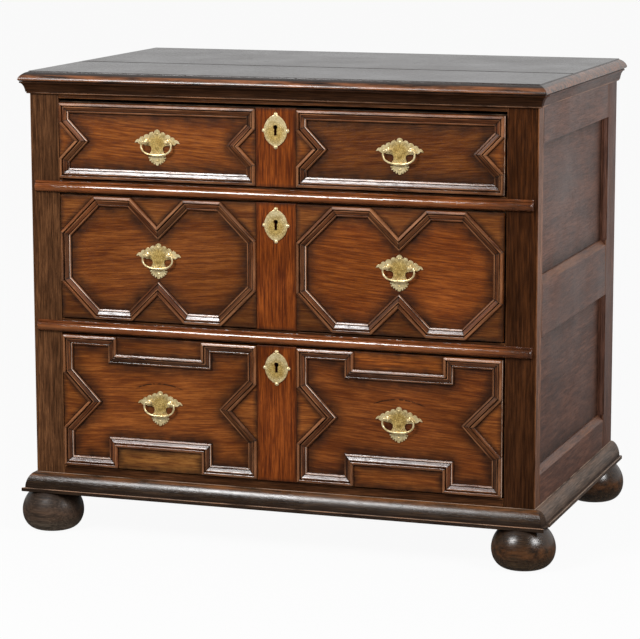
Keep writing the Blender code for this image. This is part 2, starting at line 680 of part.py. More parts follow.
def moulding_profile():
    """Section of the planted moulding as (distance in from its outer edge, rise above the field)."""
    width, rise = MOULDING_WIDTH, MOULDING_RISE
    root = -FRONT_THICKNESS / 10
    shape = ((0, 0.72), (0.07, 0.92), (0.18, 1.00), (0.29, 0.92), (0.37, 0.60), (0.44, 0.78),
             (0.52, 0.74), (0.64, 0.50), (0.80, 0.32), (1, 0.17))
    section = [(0, root)]
    section += [(width * across, rise * up) for across, up in shape]
    section.append((width, root))
    return section


def moulding_ring(outline):
    """Run the planted moulding round a closed outline, mitred at every corner."""
    rows = []
    for across, rise in moulding_profile():
        rows.append([(x, FIELD - rise, z) for x, z in inset(outline, across)])
    return skin("ring", rows, wrap_rows=True, wrap_columns=True)


def tails(lower, upper):
    """Middle heights of the dovetails along a drawer side."""
    room = upper - lower - TAIL_ROOT - 2 * TAIL_FLARE
    count = 1 + int(room / TAIL_SPACING)
    first = (lower + upper) / 2 - (count - 1) * TAIL_SPACING / 2
    return [first + k * TAIL_SPACING for k in range(count)]


def tail_outline(middle, play):
    """One dovetail as (y, z) points, grown by a little play for its socket."""
    root = TAIL_ROOT / 2 + play
    tip = root + TAIL_FLARE
    shoulder, end = FRONT_BACK + 2 * play, FRONT_BACK - TAIL_LENGTH - play
    return [(shoulder, middle - root), (end, middle - tip), (end, middle + tip), (shoulder, middle + root)]


def drawer_side_heights(place):
    """Lower and upper edges of a drawer's sides."""
    base, height, _ = DRAWERS[place]
    return base + BOTTOM_LIFT + BOTTOM_THICKNESS + GAP, base + height - SIDE_TOP_DROP


def drawer_front(place):
    """Front board with sunk fields, planted mouldings, dovetail sockets, handle and key holes."""
    base, height, frame = DRAWERS[place]
    top = base + height
    front = box(place + "_drawer_front", (-DRAWER_HALF, FRONT_FACE, base), (DRAWER_HALF, FRONT_BACK, top))
    inner, outer = MUNTIN_WIDTH / 2, DRAWER_HALF - MOULDING_EDGE
    for left, right in ((-outer, -inner), (inner, outer)):
        outline = frame(left, right, base + MOULDING_EDGE, top - MOULDING_EDGE)
        sunk = inset(outline, MOULDING_WIDTH * 0.15)
        cut(front, prism("field", sunk, "y", FRONT_FACE - FIELD_SINK, FIELD))
        join(front, moulding_ring(outline))
    rebate = box("rebate", (-DRAWER_HALF - BOTTOM_REBATE, FRONT_BACK - BOTTOM_REBATE, base - BOTTOM_LIFT),
                 (DRAWER_HALF + BOTTOM_REBATE, FRONT_BACK + BOTTOM_REBATE,
                  base + BOTTOM_LIFT + BOTTOM_THICKNESS + GAP))
    cut(front, rebate)
    low, high = drawer_side_heights(place)
    for side in (-1, 1):
        for middle in tails(low, high):
            socket = prism("socket", tail_outline(middle, GAP), "x",
                           side * (DRAWER_HALF - SIDE_THICKNESS - GAP), side * (DRAWER_HALF + SIDE_THICKNESS))
            cut(front, socket)
    for x, z in post_places(place):
        radius = SHANK_RADIUS + SHANK_PLAY
        hole = turned("hole", (x, FIELD, z), "y",
                      [(radius, -FIELD_SINK), (radius, 2 * FRONT_THICKNESS)], 10)
        cut(front, hole)
    cut(front, keyhole(place, FRONT_FACE - FIELD_SINK, BOLT_FACE))
    half = BOLT_WIDTH / 2 + GAP
    slot = box("slot", (-half, BOLT_FACE - GAP, top - BOLT_BELOW_EDGE - BOLT_LENGTH - GAP),
               (half, BOLT_FACE + BOLT_THICKNESS + GAP, top + BOLT_BELOW_EDGE))
    cut(front, slot)
    return smooth(front)


def drawer_side(place, side):
    """Drawer side with dovetails in front and the runner's groove along its outer face."""
    low, high = drawer_side_heights(place)
    shoulder = FRONT_BACK + GAP
    outline = [(DRAWER_END, low), (DRAWER_END, high), (shoulder, high)]
    for middle in reversed(tails(low, high)):
        _, lower_tip, upper_tip, _ = tail_outline(middle, 0)
        outline += [(shoulder, middle + TAIL_ROOT / 2), upper_tip, lower_tip]
        outline.append((shoulder, middle - TAIL_ROOT / 2))
    outline.append((shoulder, low))
    name = "_".join((place, "drawer", SIDE_NAMES[side], "side"))
    board = prism(name, outline, "x", side * DRAWER_HALF, side * (DRAWER_HALF - SIDE_THICKNESS))
    base = RUNNERS[place]
    groove = side_box("groove", side, DRAWER_HALF + GROOVE_DEPTH, DRAWER_HALF - GROOVE_DEPTH,
                      (FRONT_BACK + GROOVE_FROM_FRONT, base - RUNNER_DROP),
                      (DRAWER_END + GROOVE_DEPTH, base + RUNNER_HEIGHT + GAP))
    return cut(board, groove)


def drawer_back(place):
    base, height, _ = DRAWERS[place]
    half = DRAWER_HALF - SIDE_THICKNESS - GAP
    low = drawer_side_heights(place)[0]
    return box(place + "_drawer_back", (-half, DRAWER_END - DRAWER_BACK_THICKNESS, low),
               (half, DRAWER_END, base + height - DRAWER_BACK_DROP))


def drawer_bottom(place):
    """Bottom boards, nailed up under the sides and the back and into the rebate of the front."""
    base = DRAWERS[place][0] + BOTTOM_LIFT
    half = DRAWER_HALF - GAP
    return box(place + "_drawer_bottom", (-half, FRONT_BACK - BOTTOM_REBATE + GAP, base),
               (half, DRAWER_END, base + BOTTOM_THICKNESS))


# Brass and iron
def post_height(place):
    base, height, _ = DRAWERS[place]
    return base + height / 2 + POST_LIFTS[place]


def post_places(place):
    """Middle of each handle post on a drawer front."""
    z = post_height(place)
    return [(side * HANDLE_X + end * POST_SPACING / 2, z) for side in (-1, 1) for end in (-1, 1)]


# Right half of the handle plate, from its pointed top to the tip of its tail. Across is a share of
# half its width, up a share of the height above the posts and down of the tail below them.
PLATE_HALF = (
    (0, 1), (0.10, 0.87), (0.165, 0.70), (0.22, 0.75), (0.30, 0.75), (0.375, 0.52), (0.46, 0.55),
    (0.58, 0.56), (0.70, 0.46), (0.775, 0.15), (0.84, 0.20), (0.92, 0.05), (1.0, -0.04), (0.93, -0.09),
    (0.84, -0.15), (0.70, -0.12), (0.42, -0.105), (0.31, -0.14), (0.275, -0.26), (0.32, -0.37),
    (0.42, -0.46), (0.39, -0.53), (0.27, -0.56), (0.20, -0.62), (0.28, -0.63), (0.36, -0.67),
    (0.29, -0.77), (0.25, -0.855), (0.18, -0.86), (0.15, -0.95), (0.09, -0.91), (0, -1),
)


def plate_outline(centre, z):
    """Full outline of a handle plate about its posts."""
    right = []
    for across, up in PLATE_HALF:
        reach = PLATE_TOP if up > 0 else PLATE_TAIL
        right.append((across * PLATE_WIDTH / 2, z + up * reach))
    left = [(-x, height) for x, height in right[-2:0:-1]]
    return [(centre + x, height) for x, height in right + left]


def handle_plate(place, side):
    """Pierced plate with two posts, whose shanks go through the drawer front."""
    z = post_height(place)
    face = FIELD - GAP - PLATE_THICKNESS
    plate = prism("_".join((place, SIDE_NAMES[side], "plate")), plate_outline(side * HANDLE_X, z),
                  "y", FIELD - GAP, face)
    shank = FRONT_THICKNESS + GAP + PLATE_THICKNESS + SHANK_PAST
    neck = POST_RADIUS * 0.72
    profile = [(SHANK_RADIUS, shank), (SHANK_RADIUS, PLATE_THICKNESS / 2), (neck, PLATE_THICKNESS / 2),
               (POST_RADIUS, -POST_LENGTH * 0.3), (POST_RADIUS, -POST_LENGTH * 0.8), (neck, -POST_LENGTH)]
    for end in (-1, 1):
        x = side * HANDLE_X + end * POST_SPACING / 2
        join(plate, turned("post", (x, face, z), "y", profile, 10))
        reach = 2 * POST_RADIUS
        bore = turned("bore", (x, face - BAIL_STAND_OFF, z), "x",
                      [(BAIL_PIN + PIN_PLAY, -reach), (BAIL_PIN + PIN_PLAY, reach)], 8)
        cut(plate, bore)
    return smooth(plate)


def bail(place, side):
    """Drop handle of bent wire. Its origin is on the line through both posts."""
    pivot = Vector((side * HANDLE_X, FIELD - GAP - PLATE_THICKNESS - BAIL_STAND_OFF, post_height(place)))
    post, half = POST_SPACING / 2, BAIL_WIDTH / 2 - BAIL_WIRE
    pin = BAIL_PIN / BAIL_WIRE
    tip, clear = post - BAIL_PIN_LENGTH, post + POST_RADIUS + BAIL_WIRE / 2
    right = [(tip, 0, pin), (post + POST_RADIUS, 0, pin), (clear, 0, 1)]
    bend_x, bend_z = (half - clear) * 0.9, BAIL_DROP * 0.32
    for k in range(1, 4):
        angle = pi / 2 * k / 3
        right.append((clear + bend_x * sin(angle), -bend_z * (1 - cos(angle)), 1))
    shoulder = clear + bend_x
    for k in range(1, 7):
        angle = pi / 2 * k / 6
        bulge = (half - shoulder) * sin(2 * angle)
        right.append((shoulder * cos(angle) ** 0.75 + bulge, -bend_z - (BAIL_DROP - bend_z) * sin(angle), 1))
    right[-1] = (0, -BAIL_DROP, 1)
    path = [(-x, z, radius) for x, z, radius in right[:-1]] + right[::-1]
    curve = bpy.data.curves.new("_".join((place, SIDE_NAMES[side], "bail")), "CURVE")
    curve.dimensions = "3D"
    curve.bevel_depth = BAIL_WIRE
    curve.bevel_resolution = 2
    curve.use_fill_caps = True
    spline = curve.splines.new("POLY")
    spline.points.add(len(path) - 1)
    for point, (x, z, radius) in zip(spline.points, path):
        point.co = (x, 0, z, 1)
        point.radius = radius
    spline.use_smooth = True
    piece = bpy.data.objects.new(curve.name, curve)
    bpy.context.collection.objects.link(piece)
    piece.location = pivot
    return piece


def escutcheon_height(place):
    base, height, _ = DRAWERS[place]
    return base + height - ESCUTCHEON_DROP


def keyhole(place, start, end):
    """Round hole with a slot below it, as a cutter from front to back."""
    z = escutcheon_height(place) + KEYHOLE_ABOVE
    half = KEYHOLE_SLOT / 2
    first = asin(half / KEYHOLE_RADIUS)
    outline = []
    for k in range(11):
        angle = first - pi / 2 + (2 * pi - 2 * first) * k / 10
        outline.append((KEYHOLE_RADIUS * cos(angle), z + KEYHOLE_RADIUS * sin(angle)))
    foot = z + KEYHOLE_RADIUS - KEYHOLE_LENGTH
    outline += [(-half, foot), (half, foot)]
    return prism("keyhole", outline, "y", start, end)


def escutcheon(place):
    """Pointed oval key plate with a pin head at each end of its two axes."""
    z = escutcheon_height(place)
    seat, face = FRONT_FACE - GAP, FRONT_FACE - GAP - ESCUTCHEON_THICKNESS
    a, b = ESCUTCHEON_WIDTH / 2, ESCUTCHEON_HEIGHT / 2
    radius = (a * a + b * b) / (2 * a)
    sweep = asin(b / radius)
    outline = []
    for direction in (1, -1):
        for k in range(9):
            angle = -sweep + 2 * sweep * k / 9
            outline.append((direction * (radius * cos(angle) - radius + a),
                            z + direction * radius * sin(angle)))
    plate = prism(place + "_escutcheon", outline, "y", seat, face)
    dome = [(PIN_HEAD_RADIUS, 0), (PIN_HEAD_RADIUS, -PIN_HEAD_RISE * 0.5),
            (PIN_HEAD_RADIUS * 0.5, -PIN_HEAD_RISE)]
    for x, height in ((a, 0), (-a, 0), (0, b), (0, -b)):
        join(plate, turned("head", (x, seat - GAP, z + height), "y", dome, 8))
    cut(plate, keyhole(place, seat + ESCUTCHEON_THICKNESS, face - ESCUTCHEON_THICKNESS))
    return smooth(plate)


def lock_bolt(place):
    """Iron bolt that the key lifts into the rail above the drawer."""
    base, height, _ = DRAWERS[place]
    top = base + height - BOLT_BELOW_EDGE
    half = BOLT_WIDTH / 2
    return box(place + "_lock_bolt", (-half, BOLT_FACE, top - BOLT_LENGTH),
               (half, BOLT_FACE + BOLT_THICKNESS, top))


def set_origin(piece, point):
    """Move a piece's origin without moving the piece."""
    piece.data.transform(Matrix.Translation(-Vector(point)))
    piece.location = point


def paint(material, *pieces):
    for piece in pieces:
        piece.data.materials.clear()
        piece.data.materials.append(material)


def hang_on(pieces, name, point):
    """Parent pieces to an empty on their line of travel."""
    handle = bpy.data.objects.new(name, None)
    bpy.context.collection.objects.link(handle)
    handle.location = point
    for piece in pieces:
        piece.parent = handle
        piece.location = piece.location - handle.location


def build_carcass(materials):
    sides = (-1, 1)
    joint = FRONT - TOP_OVERHANG + TOP_FRONT_BOARD_DEPTH
    tops = [top_board("top_front_board", FRONT, joint - GAP / 2, True),
            top_board("top_rear_board", joint + GAP / 2, BACK + TOP_BACK_OVERHANG, False)]
    stiles = [front_stile(side) for side in sides] + [rear_stile(side) for side in sides]
    rails = [front_rail("frieze_rail"), divider_rail("upper_divider_rail"),
             divider_rail("lower_divider_rail"), front_rail("front_bottom_rail")]
    side_rails = [side_rail(side, place) for side in sides for place in SIDE_RAILS]
    panels = [side_panel(side, place) for side in sides for place in PANEL_HEIGHTS]
    feet = []
    for side in sides:
        feet.append(bun_foot(SIDE_NAMES[side] + "_front_foot", side, FRONT + FRONT_FOOT_INSET))
        feet.append(bun_foot(SIDE_NAMES[side] + "_rear_foot", side, BACK - REAR_FOOT_INSET))
    paint(materials["dark_oak"], *tops, *stiles, *side_rails, *panels, cornice_moulding())
    paint(materials["brown_oak"], *rails)
    paint(materials["black_oak"], *feet, base_moulding())
    paint(materials["plain_oak"], back_board())


def build_drawer(place, materials):
    front = drawer_front(place)
    boards = [drawer_back(place), drawer_bottom(place)]
    brass = [escutcheon(place)]
    bails = []
    for side in (-1, 1):
        boards.append(drawer_side(place, side))
        brass.append(handle_plate(place, side))
        bails.append(bail(place, side))
    bolt = lock_bolt(place)
    set_origin(bolt, (0, BOLT_FACE + BOLT_THICKNESS / 2, DRAWERS[place][0] + DRAWERS[place][1]))
    paint(materials["brown_oak"], front)
    paint(materials["plain_oak"], *boards)
    paint(materials["brass"], *brass, *bails)
    paint(materials["iron"], bolt)
    hang_on([front, *boards, *brass, *bails, bolt], place + "_drawer", (0, FRONT, RUNNERS[place]))


def build_chest():
    for piece in list(bpy.data.objects):
        bpy.data.objects.remove(piece)
    materials = {name: make_material(name) for name in MATERIALS}
    build_carcass(materials)
    for place in DRAWERS:
        build_drawer(place, materials)


build_chest()
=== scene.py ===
# %% [markdown]
# # A joined oak chest of three drawers
#
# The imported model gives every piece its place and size. This lesson dresses it: boards with eased edges,
# mouldings sawn at their mitres, turned feet, engraved brass and oak that keeps its grain on every face.
# Everything is in metres. The front faces -Y and the floor is at zero.

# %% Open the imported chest
import bpy
import random
from math import cos, pi, radians, sin, sqrt
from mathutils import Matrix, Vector


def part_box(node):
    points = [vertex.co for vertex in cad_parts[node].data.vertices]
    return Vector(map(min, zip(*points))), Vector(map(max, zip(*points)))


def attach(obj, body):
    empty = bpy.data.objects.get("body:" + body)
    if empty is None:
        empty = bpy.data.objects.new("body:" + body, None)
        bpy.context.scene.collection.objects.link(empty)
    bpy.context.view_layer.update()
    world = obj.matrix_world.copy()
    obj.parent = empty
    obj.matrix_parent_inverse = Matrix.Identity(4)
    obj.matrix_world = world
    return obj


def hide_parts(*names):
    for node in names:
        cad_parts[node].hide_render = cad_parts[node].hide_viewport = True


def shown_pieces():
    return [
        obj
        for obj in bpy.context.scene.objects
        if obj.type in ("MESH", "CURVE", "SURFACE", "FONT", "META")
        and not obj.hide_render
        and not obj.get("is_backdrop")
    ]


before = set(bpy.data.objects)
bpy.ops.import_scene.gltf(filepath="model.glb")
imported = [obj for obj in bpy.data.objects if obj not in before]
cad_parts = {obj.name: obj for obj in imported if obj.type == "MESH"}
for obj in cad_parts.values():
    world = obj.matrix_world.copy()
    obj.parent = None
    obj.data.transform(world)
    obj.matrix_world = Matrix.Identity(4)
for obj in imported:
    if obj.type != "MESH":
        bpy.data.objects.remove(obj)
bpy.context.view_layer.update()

# %% [markdown]
# ## The camera
#
# The photograph was taken with a long lens, a little above the top and from the right of the middle, so that
# the top shows as a thin strip and the right side as a narrow one. The numbers come from setting the
# corners of the chest against the same corners in the picture.

# %% Set up the camera
CAMERA_PLACE, CAMERA_TURN = (1.6033, -4.7312, 1.2344), (80.172, 0.104, 18.893)
SENSOR, LENS, FARTHEST = 36, 153.25, 60
bpy.ops.object.select_all(action="DESELECT")
bpy.ops.object.camera_add(location=CAMERA_PLACE, rotation=[radians(angle) for angle in CAMERA_TURN])
camera = bpy.context.object
camera.data.sensor_width, camera.data.lens, camera.data.clip_end = SENSOR, LENS, FARTHEST
bpy.context.scene.camera = camera
print("lens", camera.data.lens, "mm")

# %% [markdown]
# ## Floor, backdrop and light
#
# Polished furniture is mostly seen by what it reflects. Two soft lights in front, one to the left and one to the
# right, draw the bright lines on the mouldings. White behind and beside the chest gives the sheen on its top
# and side, and the room in front stays dim so that the oak keeps its colour. The floor is pale, and the
# camera sees it close to white with a soft shadow left in it.

# %% Lay the floor and light the studio
NODE_COLUMNS, NODE_WIDE, NODE_TALL = 12, 180, 220
WHITE = (1, 1, 1, 1)
ROOM_DIM, ROOM_BRIGHT, ROOM_FILL = 0.04, 0.74, 0.30
FLOOR_SIZE, FLOOR_DIM, FLOOR_BRIGHT, FLOOR_WHITE = 40, 0.06, 0.66, 0.94
scene = bpy.context.scene
scene.view_settings.view_transform = "Standard"


def plug(tree, socket, value):
    """Fill an input with a plain value, an output of another node, or the first output of a whole node."""
    if isinstance(value, bpy.types.Node):
        value = value.outputs[0]
    if isinstance(value, bpy.types.NodeSocket):
        tree.links.new(value, socket)
    else:
        socket.default_value = value


def node(tree, kind, inputs=None, **settings):
    """Add a shader node, set its options and fill its inputs."""
    new = tree.nodes.new("ShaderNode" + kind)
    row, column = divmod(len(tree.nodes), NODE_COLUMNS)
    new.location = (NODE_WIDE * column, -NODE_TALL * row)
    for key, value in settings.items():
        setattr(new, key, value)
    for key, value in (inputs or {}).items():
        plug(tree, new.inputs[key], value)
    return new


def blank(kind, name):
    """A new material or world with its nodes cleared away, and its tree."""
    made = kind.new(name)
    made.use_nodes = True
    made.node_tree.nodes.clear()
    return made, made.node_tree


def compute(tree, operation, *values, **settings):
    """One step of arithmetic."""
    return node(tree, "Math", dict(enumerate(values)), operation=operation, **settings)


def between(tree, value, low, high, to_low=0.0, to_high=1.0, **settings):
    """Map one range of values to another."""
    inputs = {"Value": value, "From Min": low, "From Max": high, "To Min": to_low, "To Max": to_high}
    return node(tree, "MapRange", inputs, **settings)


def either(tree, factor, first, second):
    """The first value where the factor is nothing, the second where it is one."""
    return node(tree, "Mix", {"Factor": factor, "A": first, "B": second}, data_type="FLOAT")


def spots(tree, scale, detail, rough=0.5):
    """Noise with no direction, for stains and unevenness."""
    place = node(tree, "TexCoord").outputs["Object"]
    inputs = {"Vector": place, "Scale": scale, "Detail": detail, "Roughness": rough}
    return node(tree, "TexNoise", inputs).outputs["Fac"]


def rays(tree):
    """Whether the camera looks straight at something, and whether it is seen mirrored or through glass."""
    path = node(tree, "LightPath").outputs
    mirrored = compute(tree, "MAXIMUM", path["Is Glossy Ray"], path["Is Transmission Ray"])
    return path["Is Camera Ray"], mirrored


scene.world, tree = blank(bpy.data.worlds, "studio")
seen, mirrored = rays(tree)
towards = node(tree, "SeparateXYZ", {0: node(tree, "TexCoord").outputs["Generated"]}).outputs["Y"]
room = between(tree, towards, -0.35, 0.45, ROOM_DIM, ROOM_BRIGHT, interpolation_type="SMOOTHSTEP")
strength = either(tree, seen, either(tree, mirrored, ROOM_FILL, room), 1.0)
sky = node(tree, "Background", {"Color": WHITE, "Strength": strength})
node(tree, "OutputWorld", {"Surface": sky})

bpy.ops.mesh.primitive_grid_add(x_subdivisions=8, y_subdivisions=8, size=FLOOR_SIZE, location=(0, 0, 0))
floor = bpy.context.object
floor.name = "studio_floor"
floor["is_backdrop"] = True
paper, tree = blank(bpy.data.materials, "pale_paper")
seen, mirrored = rays(tree)
matt = node(tree, "BsdfDiffuse", {"Color": between(tree, spots(tree, 60.0, 4.0), 0, 1, 0.54, 0.58)})
depth = node(tree, "SeparateXYZ", {0: node(tree, "TexCoord").outputs["Object"]}).outputs["Y"]
behind = between(tree, depth, -0.4, 3.6, FLOOR_DIM, FLOOR_BRIGHT, interpolation_type="SMOOTHSTEP")
glow = node(tree, "Emission", {"Color": WHITE, "Strength": either(tree, seen, behind, 1.0)})
share = compute(tree, "MULTIPLY_ADD", seen, FLOOR_WHITE, mirrored, use_clamp=True)
node(tree, "OutputMaterial", {"Surface": node(tree, "MixShader", {0: share, 1: matt, 2: glow})})
floor.data.materials.append(paper)


def soft_light(name, place, aim, width, depth, watts):
    """A rectangle of light at a place, turned towards its aim."""
    bpy.ops.object.select_all(action="DESELECT")
    bpy.ops.object.light_add(type="AREA", location=place)
    lamp = bpy.context.object
    lamp.name = name
    lamp.rotation_euler = (Vector(aim) - Vector(place)).to_track_quat("-Z", "Y").to_euler()
    lamp.data.shape = "RECTANGLE"
    lamp.data.size, lamp.data.size_y, lamp.data.energy = width, depth, watts


soft_light("left_softbox", place=(-0.9, -2.10, 1.95), aim=(0, -0.2, 0.45), width=0.9, depth=0.75, watts=57)
soft_light("right_softbox", place=(2.6, -1.2, 1.8), aim=(0.4, -0.1, 0.4), width=0.9, depth=0.9, watts=60)
print("floor, world and two soft lights")

# %% [markdown]
# ## Boards, edges and grain
#
# A joiner's board starts as a plain block. It is added as a cube, stretched to its size in edit mode, and every
# edge is eased with a small bevel, because worn edges catch the light. Each point then stores where it lay in
# the log: along the fibres, across them, and in depth. The oak finish reads that, so the figure runs
# through the board like real grain and no two boards are alike.

# %% Make boards and lay their grain
X, Y, Z = Vector((1, 0, 0)), Vector((0, 1, 0)), Vector((0, 0, 1))
SIDES = {"left": -1, "right": 1}
FLAT = 0.99


def take(piece):
    """Select one piece alone and make it active."""
    bpy.ops.object.select_all(action="DESELECT")
    piece.select_set(True)
    bpy.context.view_layer.objects.active = piece
    return piece


def smooth(piece, angle=20):
    """Shade smooth all but the edges that turn by more than an angle in degrees."""
    take(piece)
    bpy.ops.object.shade_smooth_by_angle(angle=radians(angle))
    return piece


def start(name, add, **settings):
    """Add a primitive with nothing else selected, and name it."""
    bpy.ops.object.select_all(action="DESELECT")
    add(**settings)
    piece = bpy.context.object
    piece.name = piece.data.name = name
    return piece


def select_whole():
    bpy.ops.mesh.select_all(action="SELECT")


def edit(kind=None):
    """Enter edit mode with everything selected."""
    bpy.ops.object.mode_set(mode="EDIT")
    if kind:
        bpy.ops.mesh.select_mode(type=kind)
    select_whole()


def leave():
    bpy.ops.object.mode_set(mode="OBJECT")


def ease_edges(width, **settings):
    """Bevel the edges that are selected."""
    bpy.ops.mesh.bevel(offset=width, segments=2, affect="EDGES", **settings)


def board(name, low, high, ease=0.0012):
    """A block between two corners with eased edges."""
    low, high = Vector(low), Vector(high)
    piece = start(name, bpy.ops.mesh.primitive_cube_add, size=1)
    edit()
    bpy.ops.transform.resize(value=high - low)
    bpy.ops.transform.translate(value=(low + high) / 2)
    ease_edges(ease)
    leave()
    return smooth(piece)


def store(piece, **rules):
    """Store at each point what the rule for every name finds from its place: a number, or three of them."""
    for name, rule in rules.items():
        values = [rule(vertex.co) for vertex in piece.data.vertices]
        single = isinstance(values[0], (int, float))
        entries = piece.data.attributes.new(name, "FLOAT" if single else "FLOAT_VECTOR", "POINT").data
        for entry, value in zip(entries, values):
            setattr(entry, "value" if single else "vector", value)
    return piece


def lay_grain(piece, along, face):
    """Store each point's place in the log: along the fibres, across them and away from the heart."""
    along, face = Vector(along).normalized(), Vector(face).normalized()
    across = face.cross(along)
    middle = sum([Vector(corner) for corner in piece.bound_box], Vector()) / 8
    place = random.Random(piece.name)
    shift = Vector((place.uniform(0, 40), place.uniform(-0.05, 0.05), place.uniform(0.02, 0.07)))

    def in_log(point):
        offset = point - middle
        return Vector((offset.dot(along), offset.dot(across), offset.dot(face))) + shift

    return store(piece, grain=in_log)


def shade(piece, tint):
    """Make one board redder, paler or darker than its finish: the share that is added to each colour."""
    return store(piece, tint=lambda point: tint)


def wear_edges(piece, amount=1.0):
    """Mark the eased edges, where hands and dusters have rubbed the finish."""
    worn = piece.data.attributes.new("worn", "FLOAT", "FACE")
    for face, entry in zip(piece.data.polygons, worn.data):
        entry.value = amount if max(map(abs, face.normal)) < FLAT else 0.0
    return piece


def dress(piece, material, body, *nodes):
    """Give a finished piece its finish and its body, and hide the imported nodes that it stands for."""
    piece.data.materials.clear()
    piece.data.materials.append(material)
    if nodes:
        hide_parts(*nodes)
    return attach(piece, body)


print("board tools ready")

# %% [markdown]
# ## The oak finishes
#
# Oak has rings that show as long waves, fine fibres, and open pores that look like short dark dashes. Three
# centuries of wax make it dark and glossy, dirt gathers beside the mouldings, and edges rub lighter. Where the
# dirt lies in hollows, in gaps and along the frames it is also a painted shade, and on the inner edges of the
# frames that face up and to the right the rubbed wood is also a painted highlight. One function builds such a
# finish from three tones, and each part of the chest gets tones of its own. The fields can also carry the broken
# arc that an older handle has scored.

# %% Mix the oak finishes
MARK_RADIUS, MARK_CENTRE = 0.115, -0.081


def attribute(tree, name, output="Fac"):
    """What the points of a piece store under a name."""
    return node(tree, "Attribute", attribute_name=name).outputs[output]


def times(tree, first, second):
    return compute(tree, "MULTIPLY", first, second, use_clamp=True)


def sum_of(tree, *terms):
    """Add up values, each times its factor."""
    total = 0.0
    for value, factor in terms:
        total = compute(tree, "MULTIPLY_ADD", value, factor, total)
    return total


def blend(tree, factor, first, second, mode="MIX"):
    """Lay one colour over another, or multiply them."""
    mixed = node(tree, "Mix", data_type="RGBA", blend_type=mode)
    for index, value in ((0, factor), (6, first), (7, second)):
        plug(tree, mixed.inputs[index], (*value, 1) if isinstance(value, tuple) else value)
    return mixed.outputs[2]


def ramp(tree, value, stops, tones):
    """Turn a value into a colour, with one tone at each stop."""
    colours = node(tree, "ValToRGB", {"Fac": value})
    for stop in stops[1:-1]:
        colours.color_ramp.elements.new(stop)
    for element, stop, tone in zip(colours.color_ramp.elements, stops, tones):
        element.position, element.color = stop, (*tone, 1)
    return colours


def surface(material, inputs):
    """Close a finish with its shader."""
    shader = node(material.node_tree, "BsdfPrincipled", inputs)
    node(material.node_tree, "OutputMaterial", {"Surface": shader})
    return material


def handle_mark(tree):
    """The arc of an older handle, broken by noise."""
    older = attribute(tree, "older", "Vector")
    reach = node(tree, "VectorMath", {0: older}, operation="LENGTH").outputs["Value"]
    off = compute(tree, "ABSOLUTE", compute(tree, "SUBTRACT", reach, MARK_RADIUS))
    aside = compute(tree, "ABSOLUTE", node(tree, "SeparateXYZ", {0: older}).outputs["X"])
    arc = times(tree, between(tree, off, 0.0006, 0.0018, 1, 0), between(tree, aside, 0.040, 0.049, 1, 0))
    return times(tree, arc, between(tree, spots(tree, 130.0, 2.0), 0.38, 0.52, 0, 0.85))


def oak(name, deep, middle, light, gloss=(0.30, 0.44), level=0.15, worn=(0.24, 0.095, 0.035),
        bare_and_highlight=(0.58, 0.46, 0.36), dirt_and_shade=(0.014, 0.006, 0.003), blotch=0.22, figured=0.24, uneven=0.14,
        tooth=0.30, marked=False):
    """A waxed oak: its figure in three tones, then stains, pores, grimy places that also serve as painted shade,
    rubbed places, and places rubbed to the wood that also serve as painted highlight.
    """
    material, tree = blank(bpy.data.materials, name)
    grain = attribute(tree, "grain", "Vector")

    def noise(along, across, detail, distortion=0.0):
        """Noise drawn out along the fibres."""
        stretched = node(tree, "Mapping", {"Vector": grain, "Scale": (along, across, across)})
        inputs = {"Vector": stretched, "Scale": 1.0, "Detail": detail, "Roughness": 0.6, "Distortion": distortion}
        return node(tree, "TexNoise", inputs).outputs["Fac"]

    streak, curl, fibre = noise(2.2, 30, 6.0, 0.4), noise(11, 62, 5.0, 1.1), noise(20, 420, 3.0, 0.5)
    pore, cloud = between(tree, noise(90, 1150, 1.0), 0.56, 0.68), spots(tree, 7.0, 4.0)
    dash = between(tree, noise(11, 230, 2.0, 0.6), 0.57, 0.67)
    figure = sum_of(tree, (streak, figured), (curl, figured), (fibre, 1.05 - 2 * figured))
    tone = ramp(tree, figure, (0.425, 0.525, 0.625), (deep, middle, light))
    tone = blend(tree, 1.0, tone, between(tree, cloud, 0.3, 0.7, 1 - blotch, 1 + blotch), "MULTIPLY")
    tint = node(tree, "VectorMath", {0: attribute(tree, "tint", "Vector"), 1: (1, 1, 1)})
    tone = blend(tree, 1.0, tone, tint, "MULTIPLY")
    tone = blend(tree, times(tree, pore, 0.5), blend(tree, times(tree, dash, 0.5), tone, deep), deep)
    # Dirt where the stored grime lies, which is also a painted shade in hollows, in gaps and along the frames.
    patchy = between(tree, spots(tree, 46.0, 3.0), 0.25, 0.75, 0.45, 1.15)
    caked_and_shade = times(tree, attribute(tree, "grime"), patchy)
    tone = blend(tree, caked_and_shade, tone, dirt_and_shade)
    if marked:
        tone = blend(tree, handle_mark(tree), tone, dirt_and_shade)
    # Rubbed places turn lighter and then to the wood; on inner frame edges that face up and to the right this is
    # also a painted highlight.
    rub_and_highlight, patch = attribute(tree, "worn"), noise(14, 120, 4.0)
    tone = blend(tree, times(tree, rub_and_highlight, between(tree, patch, 0.36, 0.70, 0.0, 0.8)), tone, worn)
    stripped_and_highlight = times(tree, between(tree, rub_and_highlight, 1.0, 2.0), between(tree, patch, 0.36, 0.50))
    tone = blend(tree, stripped_and_highlight, tone, bare_and_highlight)
    rough = sum_of(tree, (between(tree, cloud, 0.3, 0.7, *gloss), 1.0), (pore, 0.10), (caked_and_shade, 0.08))
    fine = sum_of(tree, (fibre, 0.5), (pore, -0.8))
    close = node(tree, "Bump", {"Height": fine, "Strength": tooth, "Distance": 0.0005})
    broad = node(tree, "Bump", {"Height": spots(tree, 24.0, 2.0), "Strength": uneven, "Distance": 0.004,
                                "Normal": close})
    return surface(material, {"Base Color": tone, "Roughness": rough, "Normal": broad,
                              "Specular IOR Level": level})


